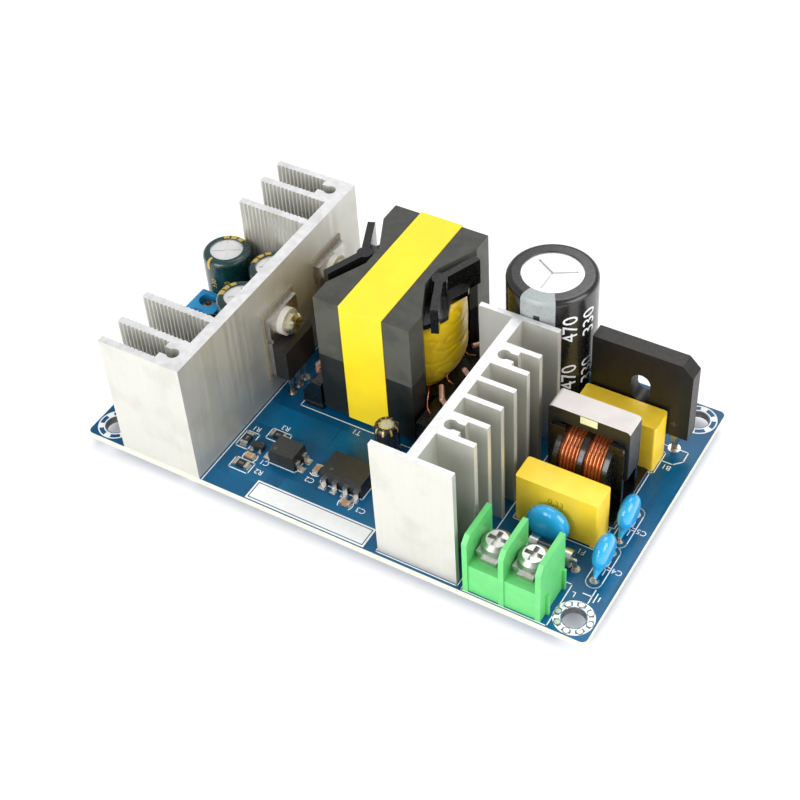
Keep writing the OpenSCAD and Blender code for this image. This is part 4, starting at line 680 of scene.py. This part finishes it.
def copper_areas(grid):
    """Wide tracks under the mask, a little lighter than the bare laminate."""
    corner = 0.6

    def area(x0, y0, x1, y1):
        prism(grid, rounded(x0, y0, x1, y1, corner, 3), 0, PRINT_T * 0.5)

    x, y, _, half_x, half_y = spot("controller_body")
    area(x - half_x - 4, y + half_y + 1.4, x + half_x + 4, y + half_y + 8)
    area(x - half_x - 7, y - half_y - 5.6, x + half_x + 7, y - half_y - 2.4)
    x, y, _, half_x, half_y = spot("optocoupler_body")
    area(x - half_x - 9.5, y + half_y + 3.5, x + half_x + 2, y + half_y + 10)
    area(x - half_x - 6, y - half_y - 6.5, x + half_x - 4, y - half_y - 2)
    x, y, _, _, half_y = spot("disc_capacitor_1")
    area(x - 7, y - half_y - 3, x - 3.2, y + half_y + 1)
    edge = BOARD_L - 0.6
    area(edge - 2.2, INSET_Y + 6, edge, BOARD_W - INSET_Y - 6)
    x, y, _, half_x, half_y = spot("choke_bobbin")
    area(x + half_x + 0.8, y - 1, x + half_x + 3.4, y + half_y + 6)


# Each track runs between two joints: a part and which of its joints, from the left, front ones first.
INPUT_TRACKS = (
    ("input_terminal_contacts", 0, "fuse_end_caps", 0),
    ("input_terminal_contacts", 1, "surge_absorber", 0),
    ("fuse_end_caps", 1, "surge_absorber", 1),
    ("surge_absorber", 0, "film_capacitor_1", 0),
    ("surge_absorber", 1, "film_capacitor_1", 1),
    ("film_capacitor_1", 0, "choke_bobbin", 0),
    ("film_capacitor_1", 1, "choke_bobbin", 2),
    ("choke_bobbin", 1, "film_capacitor_2", 0),
    ("choke_bobbin", 3, "film_capacitor_2", 1),
    ("film_capacitor_2", 0, "bridge_rectifier_body", 1),
    ("film_capacitor_2", 1, "bridge_rectifier_body", 2),
    ("bridge_rectifier_body", 0, "bulk_capacitor_sleeve", 0),
    ("bridge_rectifier_body", 3, "bulk_capacitor_sleeve", 1),
    ("bulk_capacitor_sleeve", 1, "transformer_pins", -1),
    ("switch_frame", 2, "transformer_pins", 7),
)
OUTPUT_TRACKS = (
    ("transformer_pins", 1, "rectifier_1_frame", 2),
    ("transformer_pins", 4, "rectifier_2_frame", 0),
    ("rectifier_1_frame", 1, "output_capacitor_2_sleeve", 1),
    ("rectifier_2_frame", 1, "output_capacitor_3_sleeve", 1),
    ("output_capacitor_2_sleeve", 1, "output_choke_sleeve", 1),
    ("output_choke_sleeve", 0, "output_terminal_cages", 0),
    ("output_capacitor_2_sleeve", 0, "output_capacitor_3_sleeve", 0),
    ("output_capacitor_3_sleeve", 1, "output_capacitor_1_sleeve", 1),
    ("output_capacitor_3_sleeve", 0, "output_capacitor_1_sleeve", 0),
    ("output_capacitor_1_sleeve", 0, "output_terminal_cages", 1),
)
LONG_RUN = 20.0
TRACK_STEP = 0.002
joints = [((x0 + x1) / 2, (y0 + y1) / 2) for x0, y0, x1, y1, _, _ in solids("solder_joints")]


def joints_of(node):
    """Middles of the solder joints below a part."""
    x, y, _, half_x, half_y = spot(node)
    room = 0.8
    return sorted(j for j in joints if abs(j[0] - x) < half_x + room and abs(j[1] - y) < half_y + room)


def lower_tracks(grid, tracks, width, depth):
    """Tracks under the board, each a hair lower than the one before; a long one turns a corner."""
    for step, (first, first_joint, second, second_joint) in enumerate(tracks):
        start = joints_of(first)[first_joint]
        end = joints_of(second)[second_joint]
        corner = (start[0], end[1])
        below = depth + TRACK_STEP * step
        runs = ((start, corner), (corner, end)) if math.dist(start, end) > LONG_RUN else ((start, end),)
        for i, (a, b) in enumerate(runs):
            stroke(grid, a, b, width, -BOARD_T - below - TRACK_STEP / 2 * i, -BOARD_T)


new_piece("copper_areas", copper_areas, copper_under_mask, "board")
new_piece("lower_tracks", lower_tracks, lower_copper, "board", INPUT_TRACKS + OUTPUT_TRACKS, 2.4, 0.01)
new_piece("tinned_strips", lower_tracks, solder, "tinned", OUTPUT_TRACKS, 1.2, 0.08)


# Sleeves of the upright capacitors

SLEEVE_EDGE = 1.2
BULK_LAP = 3.0
SMALL_LAP = 1.6


def sleeve_band(grid, node, a0, a1, z0, lap, step=4):
    """A printed band up a sleeve and over its rounded top edge, between two angles in degrees."""
    x, y, top_z, r, _ = spot(node)
    profile = [(r, z0), (r, top_z - SLEEVE_EDGE)]
    for i in range(1, 7):
        turn = math.radians(90 * i / 6)
        profile.append((r - SLEEVE_EDGE * (1 - math.cos(turn)), top_z - SLEEVE_EDGE * (1 - math.sin(turn))))
    profile.append((r - lap, top_z))
    count = max(2, round((a1 - a0) / step))
    sunk = -0.01
    skin = 0.03

    def point(ring, turn, out):
        ring_r, z = ring
        tilt = 0.0 if z <= top_z - SLEEVE_EDGE else 1.0
        reach = ring_r + out * (1 - 0.3 * tilt)
        return at(x + reach * math.cos(turn), y + reach * math.sin(turn), z + out * tilt)

    turns = [math.radians(a0 + (a1 - a0) * i / count) for i in range(count + 1)]
    skins = []
    for out in (sunk, skin):
        skins.append([[grid.verts.new(point(ring, turn, out)) for turn in turns] for ring in profile])
    rows = len(profile)
    for side in (0, 1):
        for i in range(rows - 1):
            for j in range(count):
                grid.faces.new((skins[side][i][j], skins[side][i][j + 1],
                                skins[side][i + 1][j + 1], skins[side][i + 1][j]))
    for i in range(rows - 1):
        for j in (0, count):
            grid.faces.new((skins[0][i][j], skins[1][i][j], skins[1][i + 1][j], skins[0][i + 1][j]))
    for j in range(count):
        for i in (0, rows - 1):
            grid.faces.new((skins[0][i][j], skins[1][i][j], skins[1][i][j + 1], skins[0][i][j + 1]))


def sleeve_letters(grid, node, words, size, angle, z):
    """Letters that run up a sleeve."""
    x, y, _, r, _ = spot(node)

    def place(u, v, t):
        turn = math.radians(angle) - v / r
        reach = r + t * 1.5
        return at(x + reach * math.cos(turn), y + reach * math.sin(turn), z + u)

    letters(grid, words, size, place)


STRIPE_A0 = -106
STRIPE_A1 = -60


def bulk_signs(grid):
    """Dark minus signs on the bulk capacitor's pale stripe."""
    first_drop = 5.4
    pitch = 8
    half_height = 1.6
    half_angle = 4
    x, y, top_z, r, _ = spot("bulk_capacitor_sleeve")
    middle = (STRIPE_A0 + STRIPE_A1) / 2
    for i in range(4):
        z = top_z - first_drop - pitch * i
        sector(grid, x, y, r, r + 0.06, middle - half_angle, middle + half_angle,
               z - half_height, z + half_height, 2)


def bulk_numbers(grid):
    """Two columns of plain numbers beside the stripe."""
    node = "bulk_capacitor_sleeve"
    size = 4.6
    first_drop = 7.5
    pitch = 13
    _, _, top_z, _, _ = spot(node)
    for i in (0, 1):
        for words, past_stripe in (("470", 20), ("330", 48)):
            sleeve_letters(grid, node, words, size, STRIPE_A1 + past_stripe, top_z - first_drop - pitch * i)


new_piece("bulk_stripe", sleeve_band, grey_print, "black_sleeve",
          "bulk_capacitor_sleeve", STRIPE_A0, STRIPE_A1, 1.0, BULK_LAP)
new_piece("bulk_signs", bulk_signs, dark_print, "black_sleeve")
new_piece("bulk_numbers", bulk_numbers, white_print, "black_sleeve")


def output_bars(grid):
    """Gold bars over the output capacitors' top edge: three wide ones and a thin one across from them."""
    bar_step = 24
    bar_half = 9
    thin_half = 4
    for number, turn in (("1", 100), ("2", 170), ("3", 160)):
        node = f"output_capacitor_{number}_sleeve"
        _, _, top_z, _, _ = spot(node)
        for middle in (turn - bar_step, turn, turn + bar_step):
            sleeve_band(grid, node, middle - bar_half, middle + bar_half, top_z - 3.2, SMALL_LAP)
        across = turn + 154
        sleeve_band(grid, node, across - thin_half, across + thin_half, top_z - 2.4, 1.3)


def output_numbers(grid):
    """Plain numbers on the output capacitors."""
    for number in "123":
        node = f"output_capacitor_{number}_sleeve"
        _, _, top_z, _, _ = spot(node)
        for angle in (-95, -60):
            sleeve_letters(grid, node, "330", 1.7, angle, top_z - 6)


new_piece("output_bars", output_bars, gold_print, "teal_sleeve")
new_piece("output_numbers", output_numbers, gold_print, "teal_sleeve")


def supply_marks(grid):
    """Thin gold bars over the supply capacitor's top edge."""
    node = "supply_capacitor_sleeve"
    count = 9
    bar = 9
    reach = SLEEVE_EDGE + 0.2
    _, _, top_z, _, _ = spot(node)
    for i in range(count):
        start = 360 * i / count
        sleeve_band(grid, node, start, start + bar, top_z - reach, reach)


new_piece("supply_marks", supply_marks, gold_print, "black_sleeve")


# Dipped discs

def melt_together(piece, voxel, rounds):
    """Turns a piece's overlapping shapes into one smooth skin."""
    melt = piece.modifiers.new("melt", "REMESH")
    melt.mode = "VOXEL"
    melt.voxel_size = voxel * MM
    melt.use_smooth_shade = True
    calm = piece.modifiers.new("calm", "SMOOTH")
    calm.iterations = rounds
    skin = bpy.data.meshes.new_from_object(piece.evaluated_get(bpy.context.evaluated_depsgraph_get()))
    piece.modifiers.clear()
    rough_shape = piece.data
    piece.data = skin
    bpy.data.meshes.remove(rough_shape)


def loft(grid, rings):
    """A closed skin through rings of points in metres."""
    rows = [[grid.verts.new(p) for p in ring] for ring in rings]
    count = len(rows[0])
    for row, following in zip(rows, rows[1:]):
        for j in range(count):
            k = (j + 1) % count
            grid.faces.new((row[j], row[k], following[k], following[j]))
    grid.faces.new(list(reversed(rows[0])))
    grid.faces.new(rows[-1])


def dipped_disc(grid, node):
    """A lens that stands on edge and drips down to its two leads."""
    low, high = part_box(node)
    middle = (low + high) / 2
    thin = 0 if high.x - low.x < high.y - low.y else 1
    wide = 1 - thin
    r = (high[wide] - low[wide]) / 2
    half = (high[thin] - low[thin]) / 2
    lens_z = high.z - r

    def point(across, along, z):
        place = [0.0, 0.0, z]
        place[thin] = middle[thin] + across
        place[wide] = middle[wide] + along
        return place

    turns = full_turn(48)
    steps = 9
    fullness = 0.55
    rings = []
    for i in range(-steps, steps + 1):
        tilt = math.pi / 2 * i / (steps + 0.4)
        reach = r * math.cos(tilt) ** fullness
        across = half * math.sin(tilt)
        rings.append([point(across, reach * math.cos(t), lens_z + reach * math.sin(t)) for t in turns])
    loft(grid, rings)
    foot = max(low.z, board_high.z + 0.2 * MM)
    for x0, y0, x1, y1, _, _ in solids("component_leads"):
        box_low = at(x0, y0)
        box_high = at(x1, y1)
        lead = (box_low + box_high) / 2
        wire_r = (box_high[thin] - box_low[thin]) / 2
        if abs(lead[thin] - middle[thin]) > half or abs(lead[wide] - middle[wide]) > r:
            continue
        out = 1 if lead[wide] > middle[wide] else -1
        outer = (box_high[wide] if out > 0 else box_low[wide]) - middle[wide] - out * wire_r
        inner = out * r * 0.5
        foot_r = wire_r * 1.25
        head_r = half * 0.8
        head_z = lens_z - 0.55 * r
        drip_steps = 6
        rings = []
        for i in range(drip_steps + 1):
            share = i / drip_steps
            along = outer + (inner - outer) * share
            z = foot + (head_z - foot) * share
            drip_r = foot_r + (head_r - foot_r) * share ** 1.4
            rings.append([
                point(drip_r * math.cos(t), along + drip_r * math.sin(t), z) for t in turns[::4]
            ])
        loft(grid, rings)


for disc in ("disc_capacitor_1", "disc_capacitor_2", "surge_absorber"):
    dipped = new_piece("dipped_" + disc, dipped_disc, blue_coating, "blue_coating", disc)
    melt_together(dipped, 0.14, 10)
    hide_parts(disc)


# Winding with its wrinkled tape

def taped_winding(grid):
    """The taped winding: a tube whose wrapped outside bulges, wrinkles and draws in at its ends."""
    low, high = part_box("transformer_winding")
    middle = (low + high) / 2
    r = (high.x - low.x) / 2
    height = high.z - low.z
    hole_r = 0.62 * r
    foot_draw = 0.16
    foot_share = 0.3
    top_draw = 0.05
    top_share = 0.14
    fold_depth = 0.02
    crease_depth = 0.03
    around = 240
    rows = 60
    outside = []
    for i in range(rows + 1):
        share = i / rows
        draw = foot_draw * max(0.0, 1 - share / foot_share) ** 2
        draw += top_draw * max(0.0, 1 - (1 - share) / top_share) ** 2
        ring = []
        for turn in full_turn(around):
            slant = turn + 0.9 * share
            folds = patterns.noise((1.6 * math.cos(turn), 1.6 * math.sin(turn), 3 * share))
            creases = 1 - abs(patterns.noise((2.6 * math.cos(slant), 2.6 * math.sin(slant), 7 * share)))
            reach = r * (1 - fold_depth - draw + fold_depth * folds - crease_depth * creases ** 22)
            x = middle.x + reach * math.cos(turn)
            y = middle.y + reach * math.sin(turn)
            ring.append(grid.verts.new((x, y, low.z + height * share)))
        outside.append(ring)
    inside = []
    for z in (low.z, high.z):
        inside.append([
            grid.verts.new((middle.x + hole_r * math.cos(t), middle.y + hole_r * math.sin(t), z))
            for t in full_turn(around)
        ])
    rings = [inside[0], *outside, inside[1], inside[0]]
    for ring, following in zip(rings, rings[1:]):
        for j in range(around):
            k = (j + 1) % around
            grid.faces.new((ring[j], ring[k], following[k], following[j]))
    for face in grid.faces:
        face.smooth = True


winding = new_piece("taped_winding", taped_winding, winding_tape, "winding_tape")
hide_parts("transformer_winding")


def tube(grid, path, d, steps=8):
    """A round strand along points in metres."""
    rings = []
    for i, place in enumerate(path):
        ahead = (path[min(i + 1, len(path) - 1)] - path[max(i - 1, 0)]).normalized()
        side = ahead.cross(Vector((0, 0, 1))).normalized()
        up = side.cross(ahead)
        rings.append([
            place + (side * math.cos(t) + up * math.sin(t)) * d * MM / 2
            for t in full_turn(steps)
        ])
    loft(grid, rings)


def fine_strands(grid):
    """Thin enamelled ends that bow from under the winding to the pin rails."""
    rise = 0.9 * MM
    sway = 0.7 * MM
    points = 13
    low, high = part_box("transformer_winding")
    middle = (low + high) / 2
    pins = solids("transformer_pins")
    rail_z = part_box("transformer_lead_wires")[1].z
    for way in (-1, 1):
        rail = [p for p in pins if (at(p[0], 0).x - middle.x) * way > 0]
        for number in range(0, len(rail), 2):
            x0, y0, x1, y1, _, _ = rail[number]
            pin = at((x0 + x1) / 2, (y0 + y1) / 2)
            start_x = middle.x + way * (high.x - low.x) * 0.36
            start = Vector((start_x, middle.y + (pin.y - middle.y) * 0.6, rail_z))
            end = Vector((pin.x, pin.y, rail_z - rise))
            path = []
            for i in range(points):
                share = i / (points - 1)
                place = start.lerp(end, share)
                place.z += math.sin(math.pi * share) * rise
                place.y += math.sin(2 * math.pi * share) * sway
                path.append(place)
            tube(grid, path, 0.3)


new_piece("fine_strands", fine_strands, copper, "copper")


# Small marks on moulded parts

def choke_tape(grid):
    """A bit of pale tape over the joint of the choke's two core halves."""
    _, y, top_z, _, half_y = spot("choke_core_left")
    joint = (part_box("choke_core_left")[1].x - board_low.x) / MM
    front = y - half_y
    outline = rounded(joint - 1.8, front - 0.08, joint + 1.8, front + 0.02, 0.02, 1)
    prism(grid, outline, top_z - 1.9, top_z - 0.15)


def bridge_signs(grid):
    """Plus, wave and minus signs above the bridge rectifier's leads."""
    low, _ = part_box("bridge_rectifier_body")
    x, y, _, half_x, half_y = spot("bridge_rectifier_body")
    foot = (low.z - board_high.z) / MM
    pitch = half_x / 2.1
    for i, words in enumerate("-~~+"):
        middle = x + (i - 1.5) * pitch
        letters(grid, words, 3.0, lambda u, v, t, m=middle: at(m + u, y - half_y - t, foot + 3.2 + v))


def film_numbers(grid):
    """Faint plain numbers on the film capacitors."""
    for node in ("film_capacitor_1", "film_capacitor_2"):
        x, y, top_z, _, half_y = spot(node)
        for row in (0, 1):
            letters(grid, "0.33", 2.0,
                    lambda u, v, t, r=row: at(x + u, y - half_y - t * 0.6, top_z - 3.6 - 3.2 * r + v))


def pin_marks(grid):
    """A small round mark at the first pin of the controller and the optocoupler."""
    for node in ("controller_body", "optocoupler_body"):
        x, y, top_z, half_x, half_y = spot(node)
        sector(grid, x - half_x * 0.6, y - half_y * 0.55, 0.05, 0.38, 0, 360, top_z, top_z + 0.015, 20)


def resistor_numbers(grid):
    """Plain values on the chip resistors."""
    for x0, y0, x1, y1, _, z1 in solids("chip_resistors"):
        turn = 0 if x1 - x0 > y1 - y0 else 1
        mid_x = (x0 + x1) / 2
        mid_y = (y0 + y1) / 2
        letters(grid, "103", 0.75, lambda u, v, t: (
            at(mid_x - v, mid_y + u, z1 + t) if turn else at(mid_x - u, mid_y - v, z1 + t)))


def fuse_ring(grid):
    """A tinted ring on the fuse tube beside its right end cap."""
    low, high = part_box("fuse_tube")
    y = (low.y + high.y) / 2
    z = (low.z + high.z) / 2
    r = (high.z - low.z) / 2 + 0.03 * MM
    x1 = high.x - 1.2 * MM
    steps = 24
    rings = []
    turns = full_turn(steps)
    x0 = x1 - 1.0 * MM
    for x, reach in ((x0, r * 0.9), (x0, r), (x1, r), (x1, r * 0.9)):
        rings.append([grid.verts.new((x, y + reach * math.cos(t), z + reach * math.sin(t))) for t in turns])
    for i in range(4):
        for j in range(steps):
            k = (j + 1) % steps
            grid.faces.new((rings[i][j], rings[i][k], rings[(i + 1) % 4][k], rings[(i + 1) % 4][j]))


new_piece("choke_tape", choke_tape, pale_tape, "core_tape")
new_piece("bridge_signs", bridge_signs, faint_print, "moulding")
new_piece("film_numbers", film_numbers, amber_print, "film_box")
new_piece("pin_marks", pin_marks, faint_print, "moulding")
new_piece("resistor_numbers", resistor_numbers, grey_print, "chip_resistor")
new_piece("fuse_ring", fuse_ring, fuse_band, "fuse_tube")


# Camera: solved from the photograph's board corners and holes

EYE = at(186.84, -162.39, 242.48)
VIEW_RIGHT = Vector((0.8604, 0.5069, -0.0517))
VIEW_AHEAD = Vector((-0.3889, 0.5878, -0.7094))
LENS = 72.46

camera = bpy.data.objects.new("camera", bpy.data.cameras.new("camera"))
camera.data.lens = LENS
camera.data.sensor_width = 36.0
camera.data.clip_start = 0.01
camera.data.clip_end = 20.0
back_axis = -VIEW_AHEAD.normalized()
right_axis = (VIEW_RIGHT - back_axis * VIEW_RIGHT.dot(back_axis)).normalized()
up_axis = back_axis.cross(right_axis)
turn = Matrix((right_axis, up_axis, back_axis)).transposed()
camera.matrix_world = Matrix.Translation(EYE) @ turn.to_4x4()
bpy.context.scene.collection.objects.link(camera)
bpy.context.scene.camera = camera


# Floor and light

def soft_light(name, place, target, size, power):
    """A square soft box that faces a point."""
    lamp = bpy.data.lights.new(name, "AREA")
    lamp.size = size
    lamp.energy = power
    box = bpy.data.objects.new(name, lamp)
    box.location = place
    box.rotation_mode = "QUATERNION"
    box.rotation_quaternion = (target - place).to_track_quat("-Z", "Y")
    bpy.context.scene.collection.objects.link(box)


def pale_floor():
    """A large pale floor under the part."""
    mesh = bpy.data.meshes.new("floor")
    half = 3.0
    corners = [(-half, -half, 0), (half, -half, 0), (half, half, 0), (-half, half, 0)]
    mesh.from_pydata(corners, [], [(0, 1, 2, 3)])
    floor = bpy.data.objects.new("floor", mesh)
    look = surface("floor", (0.92, 0.92, 0.92), 0.9, vary=0.005, grain=3)
    shader = look.node_tree.nodes["Principled BSDF"]
    shader.inputs["Emission Color"].default_value = (1, 1, 1, 1)
    shader.inputs["Emission Strength"].default_value = 0.1
    mesh.materials.append(look)
    bpy.context.scene.collection.objects.link(floor)


pale_floor()
aim = at(BOARD_L / 2, BOARD_W / 2, 12)
SOFT_BOX = 0.5
soft_light("key", aim + Vector((-0.15, -0.65, 0.3)), aim, SOFT_BOX, 4.5)
soft_light("fill", aim + Vector((0.6, 0.0, 0.35)), aim, SOFT_BOX, 3.3)
soft_light("rim", aim + Vector((0.0, 0.45, 0.65)), aim, SOFT_BOX, 2.2)
world = bpy.data.worlds.new("studio")
world.use_nodes = True
world.node_tree.nodes["Background"].inputs["Color"].default_value = (1, 1, 1, 1)
world.node_tree.nodes["Background"].inputs["Strength"].default_value = 0.55
bpy.context.scene.world = world
bpy.context.scene.view_settings.view_transform = "Standard"
